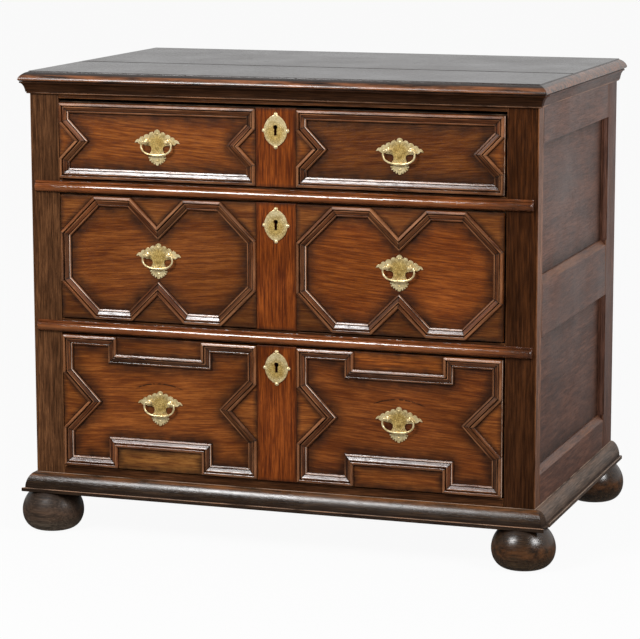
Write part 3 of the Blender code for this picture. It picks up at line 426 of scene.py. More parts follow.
field_oak = oak("field_oak", (0.088, 0.021, 0.004), (0.160, 0.044, 0.007), (0.250, 0.078, 0.014), marked=True)
muntin_oak = oak("muntin_oak", (0.065, 0.012, 0.002), (0.145, 0.030, 0.003), (0.240, 0.056, 0.007),
                 figured=0.20)
MOULDING_TONES = (0.029, 0.008, 0.002), (0.074, 0.021, 0.005), (0.140, 0.043, 0.011)
# The pale colour of rubbed wood on the frames also serves as a painted highlight on their inner edges.
MOULDING_WEAR_AND_LIGHT = {"worn": (0.38, 0.16, 0.066), "bare_and_highlight": (0.74, 0.60, 0.50), "dirt_and_shade": (0.004, 0.002, 0.001),
                 "uneven": 0.05, "tooth": 0.18}
moulding_oak = oak("moulding_oak", *MOULDING_TONES, gloss=(0.17, 0.34), level=0.85, **MOULDING_WEAR_AND_LIGHT)
dull_moulding_oak = oak("dull_moulding_oak", *MOULDING_TONES, gloss=(0.28, 0.42), level=0.30, **MOULDING_WEAR_AND_LIGHT)
frame_oak = oak("frame_oak", (0.026, 0.009, 0.003), (0.060, 0.021, 0.007), (0.108, 0.039, 0.013),
                gloss=(0.26, 0.38), level=0.10)
rail_oak = oak("rail_oak", (0.070, 0.018, 0.004), (0.160, 0.042, 0.010), (0.260, 0.078, 0.021),
               gloss=(0.09, 0.16), level=1.0, uneven=0.03, tooth=0.16)
side_oak = oak("side_oak", (0.040, 0.016, 0.010), (0.086, 0.035, 0.021), (0.148, 0.064, 0.039), level=0.26)
top_oak = oak("top_oak", (0.010, 0.006, 0.005), (0.020, 0.012, 0.009), (0.036, 0.022, 0.016),
              gloss=(0.20, 0.28), level=0.55, worn=(0.33, 0.120, 0.047), uneven=0.06, tooth=0.14)
black_oak = oak("black_oak", (0.013, 0.007, 0.004), (0.027, 0.015, 0.008), (0.052, 0.028, 0.014),
                gloss=(0.17, 0.34), level=0.55, worn=(0.26, 0.092, 0.024), figured=0.22, uneven=0.05,
                tooth=0.12)
dusty_oak = oak("dusty_oak", (0.036, 0.023, 0.016), (0.074, 0.048, 0.033), (0.136, 0.090, 0.064),
                gloss=(0.34, 0.48), level=0.20, worn=(0.20, 0.110, 0.064), figured=0.16)
lining_oak = oak("lining_oak", (0.170, 0.100, 0.052), (0.270, 0.170, 0.092), (0.360, 0.240, 0.138),
                 gloss=(0.55, 0.72), level=0.20, worn=(0.30, 0.20, 0.11), blotch=0.16)
back_oak = oak("back_oak", (0.075, 0.048, 0.028), (0.130, 0.085, 0.050), (0.190, 0.130, 0.080),
               gloss=(0.62, 0.80), level=0.20, worn=(0.20, 0.14, 0.085))
print(len(bpy.data.materials), "materials so far")

# %% [markdown]
# ## The carcass
#
# The chest is joined, not nailed: four stiles stand at the corners, and rails tenoned into them carry the
# drawers and hold the side panels. Each of these is a plain board, so it starts as a block at the place of its
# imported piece. The lock bolts shoot upwards, so a mortise is cut into the rail over each of them with a
# Boolean modifier that is applied at once.

# %% Set up the stiles and front rails
FRONT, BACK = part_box("left_front_stile")[0].y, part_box("left_rear_stile")[1].y
HALF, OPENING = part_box("right_front_stile")[1].x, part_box("right_front_stile")[0].x
FOOT_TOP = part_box("left_front_stile")[0].z
HAIRLINE, NEAR, ON_BOX, MERGE = 0.0003, 0.0001, 0.00002, 0.00001
DRAWERS = ("top", "middle", "bottom")
DRAWER_UNDER = {"frieze_rail": "top", "upper_divider_rail": "middle", "lower_divider_rail": "bottom",
                "front_bottom_rail": None}
STILE_EASE, STILE_LOW = 0.0016, 0.3
# The left front stile is painted paler and bluer, a painted sheen, and the right one darker, a painted shade; low
# down each takes another tone.
STILE_SHEEN_AND_SHADE = {"left": (0.08, 0.26, 0.50), "right": (-0.30, -0.42, -0.60)}
STILE_LOW_TINT = {"left": (0.65, 0.92, 1.25), "right": (-0.46, -0.48, -0.50)}
STILE_SIDE_TINT = (1.3, 2.0, 4.2)
BOLT_PLAY, MORTISE_DEEP = Vector((0.003, 0.003, 0)), 0.010


def cut_out(piece, cutter):
    """Cut one shape out of a piece and remove the cutter."""
    take(piece)
    modifier = piece.modifiers.new("cut", "BOOLEAN")
    modifier.operation, modifier.solver, modifier.object = "DIFFERENCE", "EXACT", cutter
    bpy.ops.object.modifier_apply(modifier=modifier.name)
    bpy.data.objects.remove(cutter)
    return piece


def choose(piece, kind, test):
    """Enter edit mode with only those faces or edges selected that pass a test."""
    take(piece)
    bpy.ops.object.mode_set(mode="EDIT")
    bpy.ops.mesh.select_mode(type=kind)
    bpy.ops.mesh.select_all(action="DESELECT")
    leave()
    for item in piece.data.polygons if kind == "FACE" else piece.data.edges:
        item.select = test(item)
    bpy.ops.object.mode_set(mode="EDIT")


def packed_copy(name, source):
    """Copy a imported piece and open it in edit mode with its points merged."""
    piece = bpy.data.objects.new(name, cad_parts[source].data.copy())
    bpy.context.collection.objects.link(piece)
    take(piece)
    edit()
    bpy.ops.mesh.remove_doubles(threshold=MERGE)
    return piece


def worked_copy(name, source, ease):
    """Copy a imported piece, merge its triangles into faces and ease the edges of its outer box."""
    piece = packed_copy(name, source)
    bpy.ops.mesh.dissolve_limited(angle_limit=radians(2))
    leave()
    walls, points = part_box(source), piece.data.vertices

    def on_box_edge(edge):
        ends = [points[index].co for index in edge.vertices]
        shared = [all(abs(end[axis] - wall[axis]) < ON_BOX for end in ends)
                  for axis in range(3) for wall in walls]
        return sum(shared) > 1

    choose(piece, "EDGE", on_box_edge)
    ease_edges(ease)
    leave()
    return smooth(piece)


def stile_tone_and_light(side):
    """The rule for the tint of a front stile: pale on its outer side, another tone low down, and above that the
    left stile paler and bluer, a painted sheen, and the right one darker, a painted shade.
    """
    def rule(point):
        if abs(point.x) > HALF - NEAR:
            return STILE_SIDE_TINT
        return (STILE_LOW_TINT if point.z < STILE_LOW else STILE_SHEEN_AND_SHADE)[side]
    return rule


for side, sign in SIDES.items():
    source = f"{side}_front_stile"
    stile = store(board(source + "_oak", *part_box(source), STILE_EASE), tint=stile_tone_and_light(side))
    dress(wear_edges(lay_grain(stile, Z, -Y)), frame_oak, "carcass", source)
    source = f"{side}_rear_stile"
    stile = worked_copy(source + "_oak", source, STILE_EASE)
    dress(wear_edges(lay_grain(stile, Z, sign * X)), side_oak, "carcass", source)

for rail, drawer in DRAWER_UNDER.items():
    low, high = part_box(rail)
    piece = board(rail + "_oak", (HAIRLINE - OPENING, FRONT, low.z), (OPENING - HAIRLINE, high.y, high.z))
    if drawer:
        bolt_low, bolt_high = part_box(f"{drawer}_lock_bolt")
        corner = (*(bolt_high + BOLT_PLAY).xy, low.z + MORTISE_DEEP)
        cut_out(piece, board("mortise", bolt_low - BOLT_PLAY, corner, ease=0.0005))
    dress(wear_edges(lay_grain(piece, X, -Y)), frame_oak, "carcass", rail)
print("four stiles and four front rails")

# %% [markdown]
# The sides are frames too. The two lower rails have a wide chamfer along the panel above them, where a plain
# square edge would hold dust. Their section is drawn as one flat face and drawn out from front to back. The
# drawers hang on runners, one inside each rail.

# %% Frame the sides
SIDE_FRONT, SIDE_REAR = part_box("right_front_stile")[1].y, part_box("right_rear_stile")[0].y
SIDE_THICK, RUNNER_TIP, RUNNER_TALL, RUNNER_EDGE, RUNNER_GAP = 0.026, 0.405, 0.014, 0.005, 0.002
SQUARE, CHAMFERED = (0.0002, 0.0001), (0.010, 0.0012)


def ring(name, points):
    """One flat face with its corners at the given points, open in edit mode."""
    piece = start(name, bpy.ops.mesh.primitive_circle_add, vertices=len(points), fill_type="NGON")
    for vertex, point in zip(piece.data.vertices, points):
        vertex.co = point
    edit("FACE")
    return piece


def extrude(step):
    bpy.ops.mesh.extrude_region_move(TRANSFORM_OT_translate={"value": step})


def turn_out():
    """Point all faces outwards and leave edit mode."""
    select_whole()
    bpy.ops.mesh.normals_make_consistent(inside=False)
    leave()


for side, sign in SIDES.items():
    for place in DRAWERS:
        source = f"{side}_side_{place}_rail"
        low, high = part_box(source)
        slope, ease = SQUARE if place == "top" else CHAMFERED
        section = [(HALF, low.z), (HALF, high.z - slope), (HALF - slope, high.z),
                   (HALF - SIDE_THICK, high.z), (HALF - SIDE_THICK, low.z)]
        piece = ring(source + "_oak", [(sign * out, SIDE_FRONT + HAIRLINE, z) for out, z in section])
        extrude((0, SIDE_REAR - SIDE_FRONT - 2 * HAIRLINE, 0))
        select_whole()
        ease_edges(ease)
        turn_out()
        dress(wear_edges(lay_grain(smooth(piece, 10), Y, sign * X), 0.7), side_oak, "carcass", source)
        base = low.z + RUNNER_EDGE if place == "top" else high.z - RUNNER_EDGE - RUNNER_TALL
        ends = sorted((sign * RUNNER_TIP, sign * (HALF - SIDE_THICK)))
        runner = board(source + "_runner", (ends[0], SIDE_FRONT + RUNNER_GAP, base),
                       (ends[1], SIDE_REAR - RUNNER_GAP, base + RUNNER_TALL), ease=0.001)
        dress(wear_edges(lay_grain(runner, Y, Z)), lining_oak, "carcass", source)
print("six side rails with their runners")

# %% [markdown]
# A panel is a thin board, loose in its grooves. It is made from a fine grid that a Solidify modifier thickens,
# because the points of the grid then hold how much dirt has gathered along its edges, and that darkening is also
# a painted shade where the frame stands over the panel.

# %% Fit the side panels
PANEL_THICK, PANEL_STEP, PANEL_REACH, PANEL_DIRT_AND_SHADE = 0.008, 0.012, 0.030, 0.75
GROOVE = Vector((0, 0.007, 0.007))


def thin_board(name, middle, width, height, thick, turn, step, dirt_and_shade):
    """An upright board that faces the front, or a side after a turn about Z, with soiling, also a painted shade,
    stored at its points.
    """
    piece = start(name, bpy.ops.mesh.primitive_grid_add, size=1, location=middle,
                  x_subdivisions=round(width / step), y_subdivisions=round(height / step),
                  rotation=(radians(90), 0, radians(turn)))
    piece.scale = (width, height, 1)
    bpy.ops.object.transform_apply(location=True, rotation=True, scale=True)
    wall = piece.modifiers.new("wall", "SOLIDIFY")
    wall.thickness, wall.offset = thick, -1
    bpy.ops.object.modifier_apply(modifier=wall.name)
    return store(piece, grime=dirt_and_shade)


def fade(distance, reach):
    """One at an edge, falling smoothly to nothing at the reach."""
    left = min(max(1 - distance / reach, 0), 1)
    return left * left * (3 - 2 * left)


def panel_dirt_and_shade(low, high):
    """The rule for the soiling on a panel, darker along its frame, and a painted shade there too."""
    def rule(point):
        inside = min(point.y - low.y, high.y - point.y, point.z - low.z, high.z - point.z)
        return PANEL_DIRT_AND_SHADE * fade(max(inside, 0), PANEL_REACH)
    return rule


for side, sign in SIDES.items():
    for place in ("upper", "lower"):
        source = f"{side}_{place}_side_panel"
        low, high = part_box(source)
        middle = Vector((high.x if sign > 0 else low.x, (low.y + high.y) / 2, (low.z + high.z) / 2))
        panel = thin_board(source + "_oak", middle, high.y - low.y, high.z - low.z, PANEL_THICK, 90 * sign,
                           PANEL_STEP, panel_dirt_and_shade(low + GROOVE, high - GROOVE))
        dress(lay_grain(panel, Y, sign * X), side_oak, "carcass", source)
print("four side panels")

# %% [markdown]
# The back is rough work that stands against a wall: upright boards, one beside the other, nailed at the top, in
# the middle and at the bottom.

# %% Board up the back
BACK_BOARDS, BACK_GAP, BACK_STAGGER = 5, 0.0006, 0.0004
NAIL_HEAD = [(0, 0.0014), (0.0016, 0.0012), (0.0030, 0.0006), (0.0034, 0), (0.0034, -0.001), (0, -0.001)]


def chain(name, points):
    """A line of edges through the given points, open in edit mode."""
    piece = start(name, bpy.ops.mesh.primitive_plane_add, size=0.01)
    edit("VERT")
    bpy.ops.mesh.merge(type="CENTER")
    bpy.ops.transform.translate(value=points[0])
    for before, after in zip(points, points[1:]):
        extrude(after - before)
    return piece


def turned(name, centre, axis, profile, steps):
    """Turn a profile of (radius, height) points about an axis, as on a lathe."""
    centre = Vector(centre)
    piece = chain(name, [centre + axis * height + X * radius for radius, height in profile])
    select_whole()
    bpy.ops.mesh.spin(steps=steps, angle=2 * pi, center=centre, axis=axis)
    select_whole()
    bpy.ops.mesh.remove_doubles(threshold=MERGE)
    turn_out()
    return smooth(piece, 40)


def gather(name, pieces):
    """Join finished pieces of one kind into a single object."""
    take(pieces[0])
    for piece in pieces:
        piece.select_set(True)
    if len(pieces) > 1:
        bpy.ops.object.join()
    pieces[0].name = pieces[0].data.name = name
    return pieces[0]


def metal(name, tones, stops, speck, crumble, matt, metallic, relief, engraving=None):
    """A worked metal, mottled and uneven, plain or engraved."""
    material, tree = blank(bpy.data.materials, name)
    cloud = spots(tree, speck, 5.0, crumble)
    colour, height = ramp(tree, cloud, stops, tones), cloud
    if engraving:
        colour, height = engraving(tree, colour)
    bump = node(tree, "Bump", {"Height": height, "Strength": relief[0], "Distance": relief[1]})
    return surface(material, {"Base Color": colour, "Metallic": metallic, "Normal": bump,
                              "Roughness": between(tree, cloud, 0.3, 0.7, *matt)})


def fit(piece, finish, body, *nodes):
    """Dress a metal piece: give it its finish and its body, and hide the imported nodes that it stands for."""
    return dress(piece, finish, body, *nodes)


iron = metal("forged_iron", tones=((0.020, 0.014, 0.011), (0.075, 0.058, 0.048)), stops=(0.36, 0.66),
             speck=240.0, crumble=0.65, matt=(0.67, 0.47), metallic=0.7, relief=(0.25, 0.0006))
low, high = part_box("back_board")
width = (high.x - low.x) / BACK_BOARDS
nails = []
for count in range(BACK_BOARDS):
    left = low.x + count * width
    piece = board(f"back_board_{count + 1}", (left + BACK_GAP, low.y, low.z),
                  (left + width - BACK_GAP, high.y - BACK_STAGGER * (count % 2), high.z), ease=0.0008)
    dress(wear_edges(lay_grain(piece, Z, Y), 0.4), back_oak, "carcass", "back_board")
    for across in (0.18, 0.82):
        for height in (low.z + 0.020, (low.z + high.z) / 2, high.z - 0.016):
            nails.append(turned("nail", (left + across * width, high.y, height), Y, NAIL_HEAD, 10))
fit(gather("back_nails", nails), iron, "carcass")
print(BACK_BOARDS, "back boards and", len(nails), "nails")

# %% [markdown]
# ## The top
#
# Two boards make the top. Its edge is a rounded nose with a small step above it. The outline of a board is
# extruded upwards in small steps, and each step is widened or narrowed about the middle of the back edge, so the
# nose runs round the front and both ends with clean corners. The nose is rubbed pale, and the joint between
# the boards has sunk and filled with dirt.

# %% Make the top
OVERHANG, NOSE_IN, NOSE_UNDER, TOP_THICK = 0.0165, 0.0150, 0.005, 0.018
NOSE_TIP, NOSE_TALL = 0.0036, 0.0162
RUB_FROM, RUB_TO, RUB_DEEP = 0.002, 0.0118, 0.0015
JOINT_WIDE, JOINT_DEEP = 0.008, 0.0015


def quarter(steps):
    """The angles of a quarter turn, without the first."""
    return [pi / 2 * count / steps for count in range(1, steps + 1)]


def nose_profile():
    """Overhang and height of the edge of the top, upwards from its underside."""
    profile = [(OVERHANG - NOSE_UNDER, 0)]
    for angle in quarter(8):
        profile.append((OVERHANG - NOSE_UNDER * (1 - sin(angle)), NOSE_TIP * (1 - cos(angle))))
    for angle in quarter(12):
        profile.append((OVERHANG - NOSE_IN * (1 - cos(angle) ** 1.3),
                        NOSE_TIP + (NOSE_TALL - NOSE_TIP) * sin(angle) ** 1.3))
    step = OVERHANG - NOSE_IN
    return profile + [(step - 0.0002, TOP_THICK - 0.0009), (step - 0.0006, TOP_THICK - 0.0003),
                      (step - 0.0013, TOP_THICK)]


def saw(place, away, keep=False):
    """Cut across at a plane. The wood beyond it comes off and the cut is closed, unless all of it is kept."""
    select_whole()
    bpy.ops.mesh.bisect(plane_co=place, plane_no=away, clear_outer=not keep, use_fill=not keep)


def top_board(source, nosed):
    low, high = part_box(source)
    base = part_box("top_front_board")[0].z
    rows = [(HALF + out, (FRONT - out) if nosed else low.y, base + up) for out, up in nose_profile()]
    wide, edge, height = rows[0]
    piece = ring(source + "_oak", [(-wide, edge, height), (wide, edge, height), (wide, high.y, height),
                                   (-wide, high.y, height)])
    for before, after in zip(rows, rows[1:]):
        extrude((0, 0, after[2] - before[2]))
        bpy.ops.transform.resize(value=(after[0] / before[0], (high.y - after[1]) / (high.y - before[1]), 1),
                                 center_override=(0, high.y, 0))
    saw((0, high.y - JOINT_WIDE if nosed else low.y + JOINT_DEEP, 0), Y, keep=True)
    turn_out()

    def at_joint(point):
        if nosed:
            return point.y > high.y - NEAR and point.z > high.z - NEAR
        return point.y < low.y + NEAR

    def rubbed(point):
        limit = RUB_TO if point.y < FRONT + RUB_DEEP else NOSE_TALL - NEAR
        return 1.0 if RUB_FROM < point.z - base < limit else 0.0

    def dirt_and_shade_rule(point):
        return 1.0 if abs(point.z - base - NOSE_TALL) < NEAR or at_joint(point) else 0.0

    store(piece, worn=rubbed, grime=dirt_and_shade_rule)
    for vertex in piece.data.vertices:
        if nosed and at_joint(vertex.co):
            vertex.co.z -= JOINT_DEEP
    return dress(lay_grain(smooth(piece), X, Z), top_oak, "carcass", source)


top_board("top_front_board", True)
top_board("top_rear_board", False)
print("two top boards")

# %% [markdown]
# ## Mouldings that wrap the carcass
#
# A moulding is planed as one long stick and sawn to length. That is how it is made here: its section is one flat
# face, extruded along the run and then cut at both ends with Bisect, which also closes the cut. Two lengths
# sawn at the same slant meet in a mitre. Each point of a section also says how far it is rubbed
# and how much dirt it holds, and that dirt is also a painted shade in its hollows and quirks.

# %% Run the cornice and the base moulding
END_BAND, AT_CUT, RUN_ON = 0.0025, 0.0002, 0.05
CORNICE_TINT = (-0.52, -0.51, -0.50)


def moulding(name, section, first, last, across, out, cuts, soot):
    """Run a section from one point to another and saw it. A section point is (across, out, worn, dirt), and its
    dirt is also a painted shade in the hollows; a cut is a point with the direction that points away from the
    wood."""
    first, last, across, out = Vector(first), Vector(last), Vector(across), Vector(out)
    piece = ring(name, [first + across * point[0] + out * point[1] for point in section])
    extrude(last - first)
    for place, away in cuts:
        saw(place, away)
        saw(place - away * END_BAND, away, keep=True)
    turn_out()

    def nearest(point):
        there = (point - first).dot(across), (point - first).dot(out)
        return min(section, key=lambda entry: abs(entry[0] - there[0]) + abs(entry[1] - there[1]))

    # Dirt from the section, which is also a painted shade in the hollows, and a dark line at each cut.
    def dirt_and_shade_rule(point):
        at_cut = any(abs((point - place).dot(away)) < AT_CUT for place, away in cuts)
        return max(nearest(point)[3], soot if at_cut else 0.0)

    store(piece, worn=lambda point: nearest(point)[2], grime=dirt_and_shade_rule)
    return smooth(lay_grain(piece, last - first, out), 30)


def around_carcass(source, section, front_finish, side_finish, soot):
    """Run a moulding along the left side, the front and the right side of the carcass."""
    corner = {sign: Vector((sign * HALF, FRONT, 0)) for sign in (-1, 1)}
    for side, sign in SIDES.items():
        mitre = (corner[sign] + Y * NEAR, -Vector((-sign, 1, 0)).normalized())
        run = moulding(f"{source}_{side}", section, corner[sign] - Y * RUN_ON,
                       Vector((sign * HALF, BACK + RUN_ON, 0)), Z, sign * X,
                       [mitre, (Vector((0, BACK, 0)), Y)], soot)
        dress(run, side_finish, "carcass", source)
    run = moulding(source + "_front", section, corner[-1] - X * RUN_ON, corner[1] + X * RUN_ON, Z, -Y,
                   [(corner[sign], Vector((sign, 1, 0)).normalized()) for sign in (-1, 1)], soot)
    return dress(run, front_finish, "carcass", source)


def cornice_section():
    low, high = [corner.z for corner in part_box("cornice_moulding")]
    section = [(low, 0, 0, 0.8), (low, 0.0040, 0.2, 0.2), (low + 0.0005, 0.0045, 0.9, 0),
               (low + 0.0022, 0.0045, 1.2, 0), (low + 0.0030, 0.0042, 0, 1.0)]
    for count in range(11):
        angle = pi / 2 * count / 10
        section.append((low + 0.0030 + 0.0160 * sin(angle), 0.0060 + 0.0076 * (1 - cos(angle)) ** 0.8, 0,
                        0.5 * (1 - count / 10)))
    return section + [(high - 0.0026, 0.0140, 0, 0.2), (high - 0.0005, 0.0142, 0, 0.4),
                      (high, 0.0138, 0, 0.8), (high, 0, 0, 0.8)]


def base_section():
    low, step = FOOT_TOP, FOOT_TOP + 0.007
    section = [(low, 0, 0, 0.6), (low, 0.0214, 0, 0.4), (low + 0.0006, 0.0220, 0, 0.4),
               (step - 0.0014, 0.0220, 0, 0.3), (step - 0.0004, 0.0218, 1.4, 0), (step, 0.0212, 1.4, 0),
               (step, 0.0172, 0, 0.9)]
    for count in range(15):
        angle = pi / 2 * count / 15
        section.append((step + 0.028 * sin(angle) ** 1.1, 0.0006 + 0.0164 * cos(angle) ** 1.1,
                        1.0 * fade(abs(count - 12), 6), 0.8 * fade(count, 3)))
    return section + [(step + 0.0272, 0.0010, 1.0, 0), (step + 0.028, 0.0008, 1.8, 0),
                      (step + 0.028, 0, 1.8, 0)]


shade(around_carcass("cornice_moulding", cornice_section(), frame_oak, side_oak, 0.5), CORNICE_TINT)
around_carcass("base_moulding", base_section(), black_oak, dusty_oak, 0.3)
print("cornice and base in three lengths each")

# %% [markdown]
# The beads under the two upper drawers stop short of the corners, and their ends have been rubbed round. So the
# section starts small, grows over the first few millimetres, runs along and shrinks again: extrude and resize,
# about the face of the carcass.

# %% Run the two beads
BEAD_TALL, BEAD_OUT, BEAD_FILLET, BEAD_RAISED = 0.016, 0.009, 0.004, 0.002
BEAD_END, DIRTY_END, DIRTY_TIP = HALF - 0.007, 0.02, 0.002
GROWTH = [(0, 0.30), (0.0007, 0.55), (0.0018, 0.78), (0.0036, 0.93), (0.0060, 1.0), (0.11, 1.0)]


def bead_section():
    section = [(0, 0)]
    for count in range(1, 18):
        angle = pi * count / 18
        section.append((BEAD_OUT * sin(angle) ** 0.8, BEAD_TALL * (1 - cos(angle)) / 2))
    return section + [(0.0012, BEAD_TALL), (0.0034, BEAD_TALL), (BEAD_FILLET, BEAD_TALL + 0.0006),
                      (BEAD_FILLET, BEAD_TALL + 0.0034), (0.0036, BEAD_TALL + 0.004), (0, BEAD_TALL + 0.004)]


def bead_worn(point):
    """Rubbed along the crown, but not at the grimy right-hand end."""
    crown = max(0, (FRONT - point.y) / BEAD_OUT - 0.5)
    return 0.0 if point.x > BEAD_END - DIRTY_END else 0.7 * crown * 2


def bead_dirt_and_shade(point):
    """Darker along the carcass, soiling and a painted shade where the bead meets it, and grimy at both tips and
    over the right-hand end.
    """
    if point.x > BEAD_END - DIRTY_END:
        return 0.8
    tip = 0.5 if abs(point.x) > BEAD_END - DIRTY_TIP else 0
    return 0.8 * fade((FRONT - point.y) / BEAD_OUT, 0.45) + tip


for rail in ("upper_divider_rail", "lower_divider_rail"):
    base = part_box(rail)[0].z + BEAD_RAISED
    stations = [(x - BEAD_END, size) for x, size in GROWTH]
    stations += [(BEAD_END - x, size) for x, size in GROWTH[::-1]]
    at, size = stations[0]
    piece = ring(rail + "_bead", [(at, FRONT - size * out, base + up) for out, up in bead_section()])
    for before, after in zip(stations, stations[1:]):
        extrude((after[0] - before[0], 0, 0))
        bpy.ops.transform.resize(value=(1, after[1] / before[1], 1), center_override=(0, FRONT, 0))
    turn_out()
    store(piece, worn=bead_worn, grime=bead_dirt_and_shade)
    dress(lay_grain(smooth(piece), X, -Y), rail_oak, "carcass", rail)
print("two beads")

# %% [markdown]
# ## Bun feet
#
# A foot is turned on a lathe: half of its outline is drawn as a chain of points and spun once round.

# %% Turn the feet
FOOT_WIDEST, FOOT_RADIUS, FOOT_SOLE, FOOT_SWELL, SOLE_EDGE = 0.0345, 0.0565, 0.029, 0.0520, 0.0003
DULL_FEET = {"left_front_foot": 0.50}
FOOT_GLOW = Vector((0.9, 1.1, 1.1))


def foot_profile():
    crown = FOOT_TOP - HAIRLINE
    profile = [(0, 0), (FOOT_SOLE - 0.001, 0), (FOOT_SOLE, SOLE_EDGE)]
    for angle in quarter(14):
        profile.append((FOOT_SOLE + (FOOT_RADIUS - FOOT_SOLE) * sin(angle),
                        SOLE_EDGE + (FOOT_WIDEST - SOLE_EDGE) * (1 - cos(angle))))
    for count in range(1, 13):
        height = (crown - FOOT_WIDEST) * count / 12
        profile.append((FOOT_RADIUS * sqrt(1 - (height / FOOT_SWELL) ** 2), FOOT_WIDEST + height))
    return profile + [(0, crown)]


for side in SIDES:
    for end in ("front", "rear"):
        source = f"{side}_{end}_foot"
        low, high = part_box(source)
        middle = (low + high) / 2
        darker = Vector((1, 1, 1)) * DULL_FEET.get(source, 0)
        foot = turned(source + "_oak", (middle.x, middle.y, 0), Z, foot_profile(), 48)
        # Each foot is painted paler towards the floor, a painted glow of light thrown up from it, and darker just
        # under the base moulding, with dirt and a painted shade.
        store(foot, worn=lambda point: 0.5 * fade(abs(point.z - 0.036), 0.020) + 0.5 * fade(point.z, 0.006),
              grime=lambda point: 0.8 * fade(FOOT_TOP - point.z, 0.014),
              tint=lambda point: FOOT_GLOW * fade(point.z, 0.036) - darker)
        dress(lay_grain(foot, X, -Y), dusty_oak if source in DULL_FEET else black_oak, "carcass", source)
print("four feet")

# %% [markdown]
# ## Drawer fronts
#
# Each front is a plain board with a pattern planted on it: two fields, an upright muntin between them, small
# spandrels that fill the corners, and a frame of short mitred lengths round every field. The frames are the
# show of the chest, so every length is run and sawn by itself and keeps its own grain, as the real ones do.

# %% Lay out the frames
FRONT_THICK = 0.020
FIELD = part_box("top_drawer_front")[1].y - FRONT_THICK
RAISED, BEHIND = FIELD - 0.006, FIELD + FRONT_THICK
MUNTIN_HALF, MARGIN = 0.0375, 0.001
FRAME_WIDTH, FRAME_RISE = 0.019, 0.0105
DRAWER_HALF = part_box("top_drawer_front")[1].x
FIELD_END = DRAWER_HALF - MARGIN
FRAME_SECTION = (
    (0, -0.15, 0, 0.6), (0, 0.60, 0, 0.3), (0.012, 0.73, 0, 0.1), (0.03, 0.82, 0.3, 0), (0.055, 0.870, 0.6, 0),
    (0.10, 0.903, 0.9, 0), (0.15, 0.938, 1, 0), (0.20, 0.970, 1, 0), (0.235, 0.990, 1, 0), (0.26, 1, 0.9, 0),
    (0.28, 0.98, 0.5, 0), (0.295, 0.91, 0.2, 0.1), (0.307, 0.77, 0, 0.6), (0.32, 0.58, 0, 1),
    (0.34, 0.50, 0, 1), (0.365, 0.50, 0, 1), (0.38, 0.62, 0, 0.9), (0.39, 0.69, 0.6, 0.1), (0.405, 0.71, 1, 0),
    (0.455, 0.71, 1, 0), (0.47, 0.69, 0.6, 0), (0.485, 0.672, 0.1, 0.2), (0.58, 0.596, 0.1, 0),
    (0.66, 0.532, 0.1, 0), (0.735, 0.472, 0.1, 0.1), (0.75, 0.40, 0, 0.8), (0.76, 0.35, 0, 1),
    (0.785, 0.35, 0, 1), (0.80, 0.40, 0, 0.7), (0.81, 0.435, 0.5, 0), (0.825, 0.45, 1, 0), (0.855, 0.437, 1, 0),
    (0.90, 0.40, 0.6, 0), (0.95, 0.36, 0.3, 0), (0.97, 0.31, 0, 0.5), (0.985, 0.24, 0, 0.9), (1, 0.16, 0, 1),
    (1, -0.15, 0, 1),
)


def end_notches(left, right, middle, half, depth):
    """A pointed notch in the right end of a field, and one in the left end."""
    return [[(end, middle - half), (end + turn * depth, middle), (end, middle + half)]
            for end, turn in ((right, -1), (left, 1))]


def top_layout(left, right, lower, upper):
    """Frame outline and spandrels of a top field: a rectangle with a pointed notch in each end."""
    notches = end_notches(left, right, (lower + upper) / 2, 0.031, 0.030)
    frame_line = [(left, lower), (right, lower), *notches[0], (right, upper), (left, upper), *notches[1][::-1]]
    return frame_line, notches


def middle_layout(left, right, lower, upper):
    """Two octagons run together, with a triangle in each corner and between them above and below."""
    centre, corner, half, depth = (left + right) / 2, 0.066, 0.0495, 0.049
    points = [[(centre - half, edge), (centre, edge + turn * depth), (centre + half, edge)]
              for edge, turn in ((lower, 1), (upper, -1))]
    frame_line = [(left + corner, lower), *points[0], (right - corner, lower), (right, lower + corner),
                  (right, upper - corner), (right - corner, upper), *points[1][::-1], (left + corner, upper),
                  (left, upper - corner), (left, lower + corner)]
    corners = [[(x, z), (x + dx * corner, z), (x, z + dz * corner)]
               for x, dx in ((left, 1), (right, -1)) for z, dz in ((lower, 1), (upper, -1))]
    return frame_line, points + corners


def bottom_layout(left, right, lower, upper):
    """A rectangle with a pointed notch in each end and a square block above and below."""
    centre, block = (left + right) / 2, 0.081
    notches = end_notches(left, right, (lower + upper) / 2, 0.050, 0.048)
    blocks = [[(centre - block, edge), (centre - block, edge + sink), (centre + block, edge + sink),
               (centre + block, edge)] for edge, sink in ((lower, 0.039), (upper, -0.031))]
    frame_line = [(left, lower), *blocks[0], (right, lower), *notches[0], (right, upper), *blocks[1][::-1],
                  (left, upper), *notches[1][::-1]]
    return frame_line, notches + blocks


LAYOUTS = {"top": top_layout, "middle": middle_layout, "bottom": bottom_layout}


def area(outline):
    return sum(a[0] * b[1] - b[0] * a[1] for a, b in zip(outline, outline[1:] + outline[:1])) / 2


def inset(outline, distance):
    """Move the edges of an anticlockwise outline inwards, with mitred corners."""
    corners = [Vector(point) for point in outline]
    moved = []
    for index, corner in enumerate(corners):
        before = (corner - corners[index - 1]).normalized()
        after = (corners[(index + 1) % len(corners)] - corner).normalized()
        inward = Vector((-before.y - after.y, before.x + after.x))
        moved.append(corner + inward * distance / (1 + before.dot(after)))
    return moved


def distance_to(outline, point):
    """Shortest distance from a point to the line of an outline."""
    nearest = 1.0
    for start_point, end_point in zip(outline, outline[1:] + outline[:1]):
        run = end_point - start_point
        share = min(max((point - start_point).dot(run) / run.length_squared, 0), 1)
        nearest = min(nearest, (point - start_point - run * share).length)
    return nearest


print("three layouts,", len(FRAME_SECTION), "points in the section of a frame")

